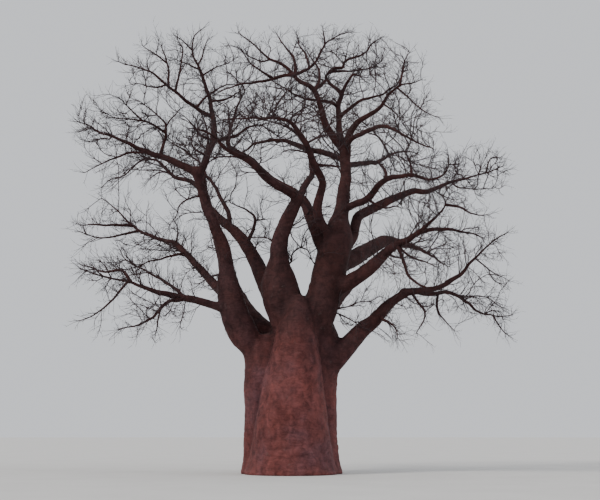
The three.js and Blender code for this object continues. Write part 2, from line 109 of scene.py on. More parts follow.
# Limbs with crooks of their own: foot, then legs (length, bearing, climb), then radii at foot, middle and tip.
CROOKED = {
    "bough_left": ((-0.92, 0.15, 3.99), ((1.47, -170, 54), (0.82, -162, 61), (0.81, -153, 72), (0.86, -141, 78), (0.78, -119, 81), (0.56, -153, 72), (0.6, -159, 63), (1.48, -149, 67), (0.88, -131, 67)), (0.32, 0.25, 0.178)),
    "bough_left_wing": (("bough_left", 0.98), ((0.33, -173, 34), (1.1, -171, 24), (0.8, -170, 15), (1.5, -167, 23), (0.38, -168, 9), (0.35, -163, 29), (0.4, -165, 19)), (0.146, 0.088, 0.018)),
    "bough_left_crest": (("bough_left", 0.98), ((0.29, 5, 49), (0.44, 22, 70), (0.94, 45, 69), (1.17, 102, 70), (0.6, 120, 69), (0.97, 141, 69), (0.75, 168, 69), (0.38, -177, 64), (0.42, -166, 78), (0.42, -34, 85), (0.36, 0, 57), (0.21, 4, 40)), (0.134, 0.086, 0.018)),
    "bough_left_shoulder": (("bough_left_crest", 0.4), ((0.37, -147, 4), (1.18, -146, 25), (1.31, -149, 32), (0.34, -157, 20), (1.11, -159, 11)), (0.075, 0.054, 0.018)),
    "bough_left_arm": (("bough_left", 0.4), ((0.58, 155, 26), (2.54, 151, 43), (0.34, 157, 38), (0.84, 162, 17), (0.98, 165, 25), (1.02, 164, 44), (1.04, 170, 40)), (0.155, 0.088, 0.018)),
    "bough_left_low": (("bough_left", 0.32), ((0.58, -152, 5), (1.0, -156, 14), (1.51, -157, 8), (0.72, -156, 15), (0.33, -155, 23), (0.99, -157, 8), (1.01, -156, 15)), (0.181, 0.089, 0.018)),
    "bough_left_skirt": (("bough_left_low", 0.33), ((0.63, -114, -17), (0.43, -115, -7), (0.48, -111, -20), (1.17, -104, -28), (0.74, -108, -22), (0.86, -110, -17), (0.94, -111, -12)), (0.077, 0.049, 0.018)),
    "bough_front_left": (("bough_middle", 1.0), ((0.45, -132, 21), (1.25, -133, 15), (1.01, -124, 22), (0.51, -129, 14), (0.85, -130, 6), (0.91, -121, 19), (0.44, -125, 10), (0.5, -128, -1), (0.49, -129, -13)), (0.149, 0.115, 0.018)),
    "bough_far_heart": (("bough_middle", 1.0), ((1.31, 70, 43), (0.62, 64, 39), (0.83, 91, 47), (1.9, 106, 45), (0.96, 118, 40), (0.74, 128, 30), (1.67, 134, 22), (0.63, 139, 10)), (0.142, 0.078, 0.018)),
    "bough_left_far": (("bough_middle", 0.2), ((1.0, 138, 43), (1.75, 128, 54), (1.27, 134, 52), (0.62, 144, 44), (1.35, 148, 40), (0.66, 144, 47), (0.71, 136, 56), (0.68, 145, 47), (1.1, 155, 22), (1.2, 149, 42), (0.44, 157, 17), (0.52, 155, -3), (1.04, 149, -30), (0.76, 155, -8), (0.56, 147, -34)), (0.375, 0.142, 0.018)),
    "bough_left_slender": (("bough_left_far", 0.37), ((0.51, 98, 63), (0.78, 123, 55), (1.36, 128, 50), (0.69, 133, 44), (0.66, 123, 54), (0.72, 141, 39), (1.28, 148, 36), (0.48, 157, 29)), (0.095, 0.065, 0.018)),
    "bough_crossing": (("bough_right", 0.45), ((0.79, 166, 48), (1.81, 147, 66), (0.5, 157, 46), (1.26, 158, 33), (0.62, 153, 42), (0.58, 150, 48), (0.62, 153, 39), (0.54, 155, 30), (0.46, 153, 41), (0.53, 70, 68), (1.84, 56, 67), (0.48, 38, 57), (0.33, 134, 66), (0.47, 157, 43), (0.46, 156, 51)), (0.275, 0.114, 0.02)),
    "bough_crown_peak": (("bough_right", 0.97), ((0.56, 166, 72), (1.12, 108, 75), (0.6, 95, 70), (0.56, 54, 63), (0.4, 142, 51), (0.46, 148, 44), (0.29, 140, 58), (0.32, 31, 53), (0.93, 14, 8), (0.43, 8, 14), (0.44, 2, 12), (0.49, -1, 32)), (0.122, 0.079, 0.018)),
    "bough_crown_top": (("bough_right", 0.97), ((1.25, -162, 52), (1.55, -148, 67), (0.8, -167, 30), (0.61, -165, 48), (0.76, -170, 26), (1.65, -173, 40)), (0.145, 0.091, 0.018)),
    "bough_right_crest": (("bough_right", 0.98), ((0.42, -54, 75), (0.37, -45, 64), (0.45, -31, 45), (1.14, -24, 28), (0.64, -26, 53), (0.36, -14, 38), (0.33, -8, 19), (0.32, -4, 6), (0.33, -2, 21)), (0.126, 0.082, 0.018)),
    "bough_front_shoulder": (("bough_right", 0.98), ((0.5, -73, 32), (0.45, -61, 12), (1.69, -58, 0), (0.5, -54, -17), (1.9, -61, -31), (1.18, -61, -27)), (0.099, 0.071, 0.018)),
    "bough_far_middle": (("bough_right", 0.93), ((1.6, 126, 25), (0.96, 128, 19), (1.77, 129, 24), (0.82, 132, 15), (0.81, 133, 6), (0.62, 132, -1), (0.57, 127, -16), (0.68, 136, 3), (0.9, 135, 23)), (0.107, 0.093, 0.018)),
    "bough_far_right": (("bough_right", 0.9), ((1.19, 62, 18), (2.06, 60, 15), (1.54, 61, 26), (0.8, 57, 19), (0.93, 55, 13), (0.71, 52, 8)), (0.11, 0.076, 0.018)),
    "bough_front": (("bough_right", 0.5), ((1.44, -129, 41), (0.52, -98, 49), (0.94, -74, 45), (0.37, -109, 43), (0.45, -121, 35), (1.24, -114, 37), (1.1, -124, 27), (0.44, -135, 2), (0.58, -136, -10), (2.27, -135, -14)), (0.186, 0.112, 0.018)),
    "bough_right_wing": (("bough_right", 0.45), ((0.63, 20, 31), (0.53, 37, 54), (1.03, 55, 64), (0.56, 27, 33), (1.24, 23, 28), (1.07, 19, 22), (0.53, 14, 3), (1.04, 12, 22), (1.08, 7, 18), (0.52, 2, 14), (0.82, -1, 22)), (0.17, 0.142, 0.018)),
    "bough_front_right": (("bough_right", 0.67), ((0.58, -55, 14), (1.06, -52, 8), (1.16, -62, 22), (1.34, -53, -3), (0.54, -52, -14), (0.57, -55, -23), (0.52, -55, -1), (0.45, -59, 10), (0.72, -88, 31)), (0.137, 0.094, 0.018)),
    "bough_right_arm": (("bough_right", 0.3), ((0.66, -22, 3), (0.56, -32, 20), (0.61, -35, 25), (1.7, -41, 31), (0.41, -39, 13), (0.88, -42, 23), (1.18, -48, 34), (0.28, -97, 53), (0.32, -138, 34)), (0.295, 0.164, 0.018)),
    "bough_far_arm": (("bough_right", 0.35), ((0.77, 53, 33), (0.93, 52, 27), (1.99, 53, 25), (0.83, 54, 23), (0.75, 50, 7), (0.64, 52, -4), (0.77, 50, 3), (0.65, 51, -4), (1.72, 52, -11), (0.84, 48, -12)), (0.29, 0.213, 0.018)),
    "bough_right_low_outer": (("bough_right_low", 1.0), ((1.37, 1, 9), (0.72, 0, 30), (0.38, 1, 32), (0.76, 1, 51), (1.16, 0, 40), (0.46, 0, 32)), (0.142, 0.07, 0.018)),
    "bough_right_tip": (("bough_right_low_outer", 0.03), ((0.47, 38, 5), (0.57, 41, -3), (1.36, 38, 7), (1.24, 39, -19), (0.55, 40, -27), (0.46, 34, -12), (0.87, 31, 1), (0.55, 30, 7)), (0.087, 0.067, 0.018)),
    "bough_far_left": ((-0.47, 0.6, 4.96), ((1.14, 147, 32), (1.39, 139, 43), (1.36, 131, 53), (1.5, 114, 59), (3.67, 121, 59), (1.51, 103, 65), (1.52, 81, 66), (1.22, 117, 64), (1.08, 137, 57)), (0.52, 0.205, 0.018)),
    "bough_far_back": ((0.31, 0.9, 4.83), ((2.95, 64, 51), (2.97, 68, 54), (2.96, 74, 59), (1.76, 79, 65), (1.53, 114, 67), (1.3, 143, 58)), (0.492, 0.187, 0.018)),
    "bough_far_low_left": ((-0.71, 0.6, 4.33), ((3.77, 129, 43), (1.16, 137, 32), (3.39, 137, 38), (1.81, 145, 22)), (0.415, 0.163, 0.018)),
    "branch_left_inner": (("bough_left_crest", 0.23), ((0.56, 63, 18), (1.24, 55, 23), (0.74, 50, 36), (0.57, 41, 24), (0.54, 41, -12), (0.51, 47, -17)), (0.079, 0.055, 0.015)),
    "branch_left_arm": (("bough_left_arm", 0.75), ((1.51, -153, -4), (0.48, -159, -5), (0.31, -162, 5)), (0.057, 0.046, 0.015)),
    "branch_left_low": (("bough_left_low", 0.33), ((0.78, 135, 35), (2.03, 138, 26), (1.03, 144, 26), (0.46, 141, 38), (0.29, 131, 54)), (0.059, 0.047, 0.015)),
    "branch_left_skirt": (("bough_left_low", 0.7), ((0.85, -124, -44), (0.91, -134, -42), (0.45, -145, -33), (0.47, -148, -21)), (0.054, 0.036, 0.015)),
    "branch_crown_top": (("bough_crown_top", 0.58), ((0.33, 33, 28), (0.8, 28, 36), (0.85, 40, 60), (0.42, 31, 56), (0.89, 19, 33), (0.35, 16, 13)), (0.07, 0.043, 0.015)),
    "branch_right_arm_low": (("bough_right_arm", 0.53), ((0.33, -63, -53), (0.49, -77, -47), (1.3, -82, -41), (1.07, -62, -26)), (0.076, 0.054, 0.04)),
    "branch_right_arm": (("bough_right_arm", 0.67), ((0.39, -8, 16), (0.66, -10, 5), (1.19, -13, -15), (0.25, -19, -31)), (0.071, 0.055, 0.015)),
    "branch_right_skirt": (("bough_right_low", 0.75), ((0.57, -80, -32), (0.47, -64, -19), (0.51, -62, -36), (0.34, -66, -67)), (0.066, 0.046, 0.015)),
    "branch_low_tip": (("bough_left_low", 0.68), ((0.6, 160, 50), (0.8, 167, -1), (0.94, 168, 19)), (0.07, 0.045, 0.018)),
    "branch_arm_under": (("bough_left_arm", 0.37), ((0.71, -149, -15), (1.85, -151, -21)), (0.05, 0.035, 0.015)),
    "branch_skirt_drop": (("bough_left_skirt", 0.38), ((0.99, -108, -71),), (0.035, 0.026, 0.014)),
    "branch_arm_low": (("bough_left_arm", 0.7), ((0.54, -159, -19), (1.07, -159, -11), (0.91, -157, 12)), (0.05, 0.035, 0.015)),
    "branch_left_spray": (("bough_left", 0.88), ((0.81, -157, -22), (0.35, -141, -50), (0.28, -99, -67), (0.63, -135, -55)), (0.035, 0.026, 0.014)),
    "branch_arm_up": (("bough_left_arm", 0.45), ((0.76, -85, 68), (0.27, -134, 54)), (0.035, 0.026, 0.014)),
    "branch_wing_low": (("bough_left_wing", 0.42), ((0.83, -157, -9), (0.41, -158, -23), (1.48, -155, -31)), (0.05, 0.035, 0.015)),
    "branch_wing_up": (("bough_left_wing", 0.33), ((1.36, 63, 76), (0.51, 157, 51), (0.8, 163, 40)), (0.07, 0.045, 0.018)),
    "branch_wing_up_in": (("branch_wing_up", 0.48), ((0.4, 39, 58), (0.77, 32, 49)), (0.035, 0.026, 0.014)),
    "branch_wing_up_out": (("branch_wing_up", 0.38), ((0.76, -155, 26), (0.48, -158, 7), (0.85, -157, -1)), (0.05, 0.035, 0.015)),
    "branch_wing_fan": (("branch_wing_up_out", 0.52), ((1.19, -154, 41),), (0.035, 0.026, 0.014)),
    "branch_crest_low": (("bough_left_crest", 0.23), ((0.66, -150, 17), (0.32, -130, 45), (0.56, -139, 33)), (0.05, 0.035, 0.015)),
    "branch_crest_foot": (("bough_left_crest", 0.12), ((0.71, -137, 20), (0.34, -99, 48), (0.34, -56, 39)), (0.05, 0.035, 0.015)),
    "branch_shoulder_in": (("bough_left_shoulder", 0.18), ((0.46, 30, 52), (1.0, 27, 41), (0.38, 23, 26), (0.51, 21, 7)), (0.05, 0.035, 0.015)),
    "branch_crest_in": (("bough_left_crest", 0.5), ((0.7, 35, 20), (1.14, 39, 30)), (0.05, 0.035, 0.015)),
    "branch_crest_fan": (("bough_left_crest", 0.68), ((0.77, 40, 38), (0.99, 36, 29)), (0.035, 0.026, 0.014)),
    "branch_shoulder_up": (("bough_left_shoulder", 0.5), ((1.02, 112, 74), (1.0, 140, 68)), (0.05, 0.035, 0.015)),
    "branch_shoulder_mid": (("bough_left_shoulder", 0.43), ((1.57, 78, 65), (0.76, 91, 66), (0.63, 135, 57)), (0.05, 0.035, 0.015)),
    "branch_shoulder_fan": (("branch_shoulder_up", 0.55), ((1.17, -151, 28),), (0.035, 0.026, 0.014)),
    "branch_shoulder_low": (("bough_left_shoulder", 0.53), ((0.46, -141, -25), (0.93, -136, -7)), (0.035, 0.026, 0.014)),
    "branch_crest_out": (("bough_left_crest", 0.72), ((1.3, -136, 4),), (0.035, 0.026, 0.014)),
    "branch_crest_tip": (("bough_left_crest", 0.85), ((0.67, -143, 31), (0.28, -146, 13)), (0.035, 0.026, 0.014)),
    "branch_crest_tip_in": (("bough_left_crest", 0.75), ((0.53, 54, 60), (0.54, 74, 68), (0.5, 46, 58)), (0.035, 0.026, 0.014)),
    "branch_front_twig": (("bough_front_left", 0.53), ((1.38, 159, 5),), (0.035, 0.026, 0.014)),
    "branch_stub": (("bough_left_far", 0.28), ((1.09, -35, 65), (0.44, -158, 46), (0.82, -163, 23)), (0.085, 0.05, 0.018)),
    "branch_stub_side": (("branch_stub", 0.45), ((0.6, 43, 11),), (0.035, 0.026, 0.014)),
    "branch_gap_left": (("bough_middle", 0.65), ((0.63, 167, 35), (0.65, 164, 0)), (0.035, 0.026, 0.014)),
    "branch_gap_ring": (("bough_middle", 0.5), ((0.58, 5, 27), (0.28, 37, 81), (0.38, 8, 44), (0.32, 6, -10), (0.59, 14, -66)), (0.035, 0.026, 0.014)),
    "branch_gap_twig": (("bough_middle", 0.77), ((0.7, 10, 29), (0.57, 13, 46)), (0.025, 0.02, 0.014)),
    "branch_link": (("bough_front", 0.43), ((0.32, 43, -17), (0.94, 39, 7)), (0.07, 0.055, 0.04)),
    "branch_front_fan": (("bough_front", 0.47), ((0.9, -143, -1), (0.41, -138, -21)), (0.035, 0.026, 0.014)),
    "branch_wing_tip": (("bough_right_wing", 0.92), ((0.74, 37, 65), (0.46, 14, 10)), (0.035, 0.026, 0.014)),
    "branch_right_under": (("bough_right_wing", 0.75), ((0.36, -22, -41), (1.4, -17, -8)), (0.035, 0.026, 0.014)),
    "branch_right_rise": (("bough_front_right", 0.42), ((0.41, 73, 54), (0.65, 121, 48)), (0.07, 0.06, 0.05)),
    "branch_right_foot": (("bough_front_right", 0.23), ((0.41, -36, -39), (0.51, -33, -23), (0.42, -32, 2), (0.27, -33, -24)), (0.05, 0.035, 0.015)),
    "branch_right_bow": (("bough_front_right", 0.62), ((0.4, 87, 59), (0.79, 108, 58)), (0.05, 0.035, 0.015)),
    "branch_arm_out": (("bough_right_arm", 0.92), ((0.65, -18, -14), (0.35, -22, -37), (0.37, -19, -20), (0.28, -18, -4)), (0.05, 0.035, 0.015)),
    "branch_arm_inner": (("bough_right_arm", 0.53), ((0.63, -35, -43), (1.31, -32, -25)), (0.05, 0.035, 0.015)),
    "branch_arm_under_right": (("bough_right_arm", 0.45), ((0.45, -43, -30), (0.33, -43, -12), (0.3, -47, 14)), (0.05, 0.035, 0.015)),
    "branch_tip_low": (("bough_right_tip", 0.82), ((0.8, 19, -55), (0.31, 11, -33)), (0.035, 0.026, 0.014)),
    "branch_tip_drop": (("bough_right_tip", 0.28), ((0.74, -102, -74), (1.04, -28, -52)), (0.05, 0.035, 0.015)),
    "branch_tip_drop_in": (("bough_right_tip", 0.03), ((1.19, -46, -56), (0.82, -141, -52)), (0.05, 0.035, 0.015)),
    "branch_low_loop": (("bough_right_low", 0.73), ((0.47, -10, 41), (1.09, -9, 31)), (0.09, 0.07, 0.05)),
    "branch_crest_up": (("bough_right_crest", 0.8), ((1.29, 54, 69), (0.44, 34, 59)), (0.05, 0.035, 0.015)),
    "branch_crown_cross": (("bough_crown_peak", 0.25), ((1.13, -23, 31), (0.85, -20, 10), (0.69, -22, 25)), (0.08, 0.055, 0.03)),
    "branch_crest_low_right": (("bough_right_crest", 0.77), ((1.84, -35, -44), (0.56, -30, -30)), (0.035, 0.026, 0.014)),
    "branch_crest_mid_right": (("bough_right_crest", 0.58), ((1.1, -50, -40), (0.46, -66, -53)), (0.035, 0.026, 0.014)),
    "branch_peak_mid": (("bough_crown_peak", 0.42), ((0.69, -44, 55), (0.28, -29, 38), (0.63, -22, -19)), (0.07, 0.045, 0.018)),
    "branch_peak_up": (("bough_crown_peak", 0.65), ((0.33, 16, 43), (0.35, 14, 10), (0.31, 36, 68), (0.78, 14, 25), (0.34, 17, 37), (0.39, 25, 61), (0.69, 16, 37)), (0.07, 0.045, 0.018)),
    "branch_peak_left": (("bough_crown_peak", 0.33), ((0.29, -148, 24), (0.43, -151, 6), (0.92, -151, -4), (0.37, -150, 9), (1.2, -146, 20)), (0.07, 0.045, 0.018)),
    "branch_crown_mid": (("bough_crown_top", 0.43), ((0.48, 43, 34), (0.56, 53, 43)), (0.085, 0.075, 0.05)),
    "branch_crown_inner": (("bough_crown_top", 0.42), ((0.6, 22, 69), (0.46, 135, 77), (0.85, 161, 58)), (0.07, 0.045, 0.018)),
    "branch_crown_left": (("bough_crown_top", 0.58), ((0.42, -157, -10), (0.77, -153, -25), (1.49, -154, -17), (0.94, -151, -29)), (0.07, 0.045, 0.018)),
    "branch_crown_far_top": (("branch_crown_top", 0.62), ((0.96, 102, 71),), (0.035, 0.026, 0.014)),
    "branch_crown_rise": (("bough_crown_top", 0.57), ((0.61, 84, 71), (0.55, 131, 64), (0.6, 148, 50), (0.64, 139, 59)), (0.07, 0.045, 0.018)),
    "branch_crown_rise_in": (("branch_crown_top", 0.23), ((0.63, 110, 61), (0.8, 127, 55), (0.76, 116, 59)), (0.05, 0.035, 0.015)),
    "branch_crown_left_up": (("branch_crown_left", 0.25), ((0.94, -158, 28), (0.88, -152, 46)), (0.05, 0.035, 0.015)),
    "branch_crown_out": (("bough_crown_top", 0.75), ((0.43, -150, -21), (0.94, -147, 14)), (0.035, 0.026, 0.014)),
    "branch_side_twig": (("bough_right", 0.18), ((1.05, -12, 8), (0.42, -13, 20), (0.46, -12, 3)), (0.035, 0.026, 0.014)),
    "branch_side_twig_low": (("bough_right", 0.17), ((0.61, -9, 2), (0.78, -11, -28), (0.39, -14, -37)), (0.035, 0.026, 0.014)),
}


# How a mass of twigs holds itself: 1 reaches up, -1 hangs.
HABIT = {
    "twigs_left_low": -0.25, "twigs_left_skirt": -0.6, "twigs_right_tip": -0.45,
    "twigs_right_skirt": -0.9, "twigs_far_low_left": -0.2, "twigs_far_low_right": -0.2,
    "twigs_right_low": 0.1, "twigs_left_arm": 0.1, "twigs_right_wing": 0.1, "twigs_right_arm": 0.15,
}
HABIT_ELSE = 0.38

# Masses that are thinner or fuller of twigs than the rest.
FULL = {
    "twigs_left_crest": 0.25,
    "twigs_left_shoulder": 0.25,
    "twigs_left_wing": 1.71,
    "twigs_left_far": 1.4,
    "twigs_left_arm": 0.25,
    "twigs_left_low": 0.86,
    "twigs_left_skirt": 0.35,
    "twigs_left_inner": 0.32,
    "twigs_crown_top": 0.51,
    "twigs_crown_peak": 0.95,
    "twigs_right_crest": 0.49,
    "twigs_front_heart": 0.49,
    "twigs_front_left": 0.38,
    "twigs_front_shoulder": 0.25,
    "twigs_front_right": 0.48,
    "twigs_right_wing": 0.4,
    "twigs_right_arm": 0.31,
    "twigs_right_low": 0.27,
    "twigs_right_tip": 0.66,
    "twigs_right_skirt": 1.97,
    "twigs_far_left": 0.64,
    "twigs_far_back": 0.5,
    "twigs_far_right": 0.33,
    "twigs_far_arm": 0.37,
    "twigs_far_low_right": 0.85,
    "twigs_far_low_left": 0.26,
    "twigs_crown_back": 0.45,
}

VOXEL = 0.060    # fineness of the bark mesh
THIN = 0.12                         # radius below which a bough is a tube of its own
BUD_GRID = 0.29      # spacing of the buds that branches grow towards
BUD_JOIN = 0.75                     # two masses this near to each other have buds between them too
COLUMN_MOST = 15    # most buds one behind another, in a column a CELL wide
CELL = 0.5
HAZE = 11.0                         # stray buds to a metre of lesser limb
HAZE_AWAY = (0.30, 1.80)            # how far from it
# parts of the crown with sky between the branches: middle (x, z), half width, half height
OPENINGS = (
    (-8.2, 15.6, 1.5, 1.0),
    (-7.9, 14.5, 1.2, 0.6),
    (-6.8, 17.5, 1.7, 0.8),
    (5.4, 16.9, 1.0, 0.8),
)
# and the same for parts where they stand closer, with how much closer
THICKETS = (
    (-7.8, 12.6, 1.0, 0.7, 0.6),
    (-5.7, 12.6, 0.9, 0.9, 0.4),
    (-1.3, 12.9, 0.9, 0.8, 1.6),
    (0.2, 12.7, 0.9, 0.8, 1.1),
    (-4.5, 11.0, 0.9, 0.8, 1.0),
    (-4.7, 9.5, 1.0, 0.8, 1.7),
    (-0.1, 8.1, 0.9, 0.9, 2.5),
    (-4.2, 6.5, 1.0, 0.8, 2.6),
    (5.4, 8.2, 1.5, 0.7, 0.8),
    (3.4, 6.4, 1.0, 0.8, 1.0),
    (1.7, 11.4, 0.9, 0.8, 0.5),
    (-4.7, 14.3, 0.9, 0.7, 0.5),
)
HAZE_OUT = 1.20                     # and how far where no mass is
CROTCH = (0.1, 0.0, 6.2)            # the crown spreads from here
FORWARD = 0.12                      # branches run outward: least cosine to that
SPROUT_EVERY = (0.28, 0.75)         # spacing of the branches along a limb
SPROUT_FAR = (0.95, 1.70)           # and on the far side
BUD_REACH = 2.0                     # how far off a bud still draws a branch
BUD_TAKEN = 0.24                    # a bud is spent when a branch comes this near
BUD_DEPTH = 0.48                    # how far inside a mass's outline the buds stay
STEP = 0.15                         # length of one season's shoot
SHOOT_R = 0.0100                    # radius of the last shoot
PIPE = 2.28                         # how the radii of a fork add up
TWIG_EVERY = 0.135                   # spacing of side twigs along thin branches
TWIG_R = 0.0086                     # their radius at the foot, at most
TWIG_LEN = (0.22, 0.64)
SPUR_LEN = (0.12, 0.34)
OVERHANG = (0.22, 0.22, 0.02)       # how far a twig may stand out of the tree's box


# -------------------------------------------------------------------- noise
_GRAD = rng.normal(size=(1024, 3))
_GRAD /= np.linalg.norm(_GRAD, axis=1)[:, None]


def noise(p, seed=0):
    """Smooth unevenness in space, about -1 to 1."""
    i = np.floor(p).astype(np.int64)
    f = p - i
    u = f * f * f * (f * (f * 6 - 15) + 10)
    out = np.zeros(len(p))
    for dx in (0, 1):
        for dy in (0, 1):
            for dz in (0, 1):
                h = ((i[:, 0] + dx) * 73856093) ^ ((i[:, 1] + dy) * 19349663) ^ ((i[:, 2] + dz) * 83492791) ^ (seed * 2654435)
                g = _GRAD[h & 1023]
                w = (u[:, 0] if dx else 1 - u[:, 0]) * (u[:, 1] if dy else 1 - u[:, 1]) * (u[:, 2] if dz else 1 - u[:, 2])
                out += w * (g[:, 0] * (f[:, 0] - dx) + g[:, 1] * (f[:, 1] - dy) + g[:, 2] * (f[:, 2] - dz))
    return out * 1.7


# --------------------------------------------------------------------- limbs
def taper(radii, s):
    a, b, c = np.log(radii)
    return np.exp(a * (1 - s) * (1 - 2 * s) + 4 * b * s * (1 - s) + c * s * (2 * s - 1))


def limb_line(foot, length, bearing, climb, steps=60):
    s = (np.arange(steps) + 0.5) / steps
    b = np.radians(bearing[0] + bearing[1] * s)
    c = np.radians(climb[0] + climb[1] * s + climb[2] * s * s)
    step = np.stack([np.cos(c) * np.cos(b), np.cos(c) * np.sin(b), np.sin(c)], 1) * (length / steps)
    return np.vstack([foot, foot + np.cumsum(step, 0)])


def crooked_line(foot, legs, steps=60):
    """A smooth course through the ends of its legs, cut into even steps."""
    ends = [np.array(foot)]
    for length, bearing, climb in legs:
        b, c = np.radians(bearing), np.radians(climb)
        ends.append(ends[-1] + length * np.array((np.cos(c) * np.cos(b), np.cos(c) * np.sin(b), np.sin(c))))
    q = np.array([2 * ends[0] - ends[1]] + ends + [2 * ends[-1] - ends[-2]])
    course = []
    for a, b, c, d in zip(q, q[1:], q[2:], q[3:]):
        t = np.cumsum([0.0] + [max(np.linalg.norm(v), 1e-6) ** 0.5 for v in (b - a, c - b, d - c)])
        for x in np.linspace(t[1], t[2], 9)[:-1]:
            ab = ((t[1] - x) * a + (x - t[0]) * b) / (t[1] - t[0])
            bc = ((t[2] - x) * b + (x - t[1]) * c) / (t[2] - t[1])
            cd = ((t[3] - x) * c + (x - t[2]) * d) / (t[3] - t[2])
            abc = ((t[2] - x) * ab + (x - t[0]) * bc) / (t[2] - t[0])
            bcd = ((t[3] - x) * bc + (x - t[1]) * cd) / (t[3] - t[1])
            course.append(((t[2] - x) * abc + (x - t[1]) * bcd) / (t[2] - t[1]))
    course = np.array(course + [ends[-1]])
    along = np.r_[0.0, np.cumsum(np.linalg.norm(np.diff(course, axis=0), axis=1))]
    s = np.linspace(0, along[-1], steps + 1)
    return np.stack([np.interp(s, along, course[:, k]) for k in range(3)], 1)


LIMBS = {}                          # name: (points, radii)
for number, (name, (start, *way, radii)) in enumerate({**BOUGHS, **CROOKED}.items()):
    if isinstance(start[0], str):
        line = LIMBS[start[0]][0]
        x = start[1] * (len(line) - 1)
        k = min(int(x), len(line) - 2)
        foot = line[k] + (line[k + 1] - line[k]) * (x - k)
    else:
        foot = np.array(start)
    line = crooked_line(foot, *way) if name in CROOKED else limb_line(foot, *way)
    length = np.linalg.norm(np.diff(line, axis=0), axis=1).sum()
    s = np.linspace(0, 1, len(line))
    # crooks: a seeded wander off the smooth course, none at the foot
    girth = taper(radii, s)
    if name in SHOULDERS:
        more, where, over = SHOULDERS[name]
        girth = girth + more / (1 + np.exp((s * length - where) / over))
    if not isinstance(start[0], str):
        # a bough that rises out of the trunk is slimmer where the trunk hides it
        slim, rise_over = (0.34, 1.8) if name in SHOULDERS else (0.22, 1.0)
        f = np.clip(s * length / rise_over, 0, 1)
        girth = girth * (1 - slim * (1 - f * f * (3 - 2 * f)))
    sway = np.stack([noise(np.stack([s * length / 1.25 + 7.3 * number, np.full(len(s), 3.1 * a), np.zeros(len(s))], 1), 5) for a in range(3)], 1)
    fine = np.stack([noise(np.stack([s * length / 0.5 + 3.7 * number, np.full(len(s), 1.7 * a), np.ones(len(s))], 1), 6) for a in range(3)], 1)
    amount = np.clip(s * length / 0.8, 0, 1)[:, None]
    crook = (0.025, 0.030) if name in CROOKED else (0.10, 0.042)
    line = line + amount * (crook[0] * sway + crook[1] * fine) * np.clip(0.35 / (girth + 0.25), 0.5, 1.2)[:, None]
    LIMBS[name] = (line, girth)

# ------------------------------------------------------- the trunk and its boughs
lo = np.array([-2.6, -2.6, -0.10])
hi = np.array([2.8, 2.6, 7.6])
for line, girth in LIMBS.values():
    stout = girth > THIN
    if stout.any():
        lo = np.minimum(lo, (line[stout] - girth[stout, None] - 0.4).min(0))
        hi = np.maximum(hi, (line[stout] + girth[stout, None] + 0.4).max(0))
lo = np.floor(lo / VOXEL) * VOXEL
lo[2] = -2 * VOXEL
size = np.ceil((hi - lo) / VOXEL).astype(int) + 1
axes = [lo[a] + VOXEL * np.arange(size[a]) for a in range(3)]
field = np.full(size, 1.0, np.float32)


def block(low, high):
    a = np.clip(np.floor((low - lo) / VOXEL).astype(int), 0, size)
    b = np.clip(np.ceil((high - lo) / VOXEL).astype(int) + 1, 0, size)
    return a, b


def knit(a, b, soft):
    h = np.maximum(soft - np.abs(a - b), 0) / soft
    return np.minimum(a, b) - h * h * soft * 0.25


def column_line(column, z):
    ground, middle, fork, top = column
    s = np.clip(z / FORK_HEIGHT, 0, 1.25)
    g, m, f = (np.array(v) for v in (ground, middle, fork))
    q = [g[k] * (1 - s) * (1 - 2 * s) + 4 * m[k] * s * (1 - s) + f[k] * s * (2 * s - 1) for k in range(3)]
    r = q[2] + FLARE[0] * np.exp(-z / FLARE[1])
    over = np.clip((z - (top - 1.1)) / 1.1, 0, 1)
    return q[0], q[1], r * np.sqrt(np.clip(1 - over * over, 0, 1))


a, b = block(np.array([-2.7, -2.7, -0.2]), np.array([2.9, 2.7, 7.7]))
gx, gy, gz = np.meshgrid(*[axes[k][a[k]:b[k]] for k in range(3)], indexing="ij")
stem = np.full(gx.shape, 1.0)
for name, column in COLUMNS.items():
    cx, cy, cr = column_line(column, np.maximum(gz[0, 0], 0))
    d = np.hypot(gx - cx, gy - cy) - cr
    d = np.where(gz > column[3], np.maximum(d, gz - column[3]), d)
    stem = knit(stem, d, COLUMN_KNIT)
core = np.hypot(gx - 0.03, gy - 0.22) - np.interp(gz[0, 0], *zip(*CORE))
stem = knit(stem, np.maximum(core, gz - CORE[-1][0]), 0.1)
field[a[0]:b[0], a[1]:b[1], a[2]:b[2]] = stem

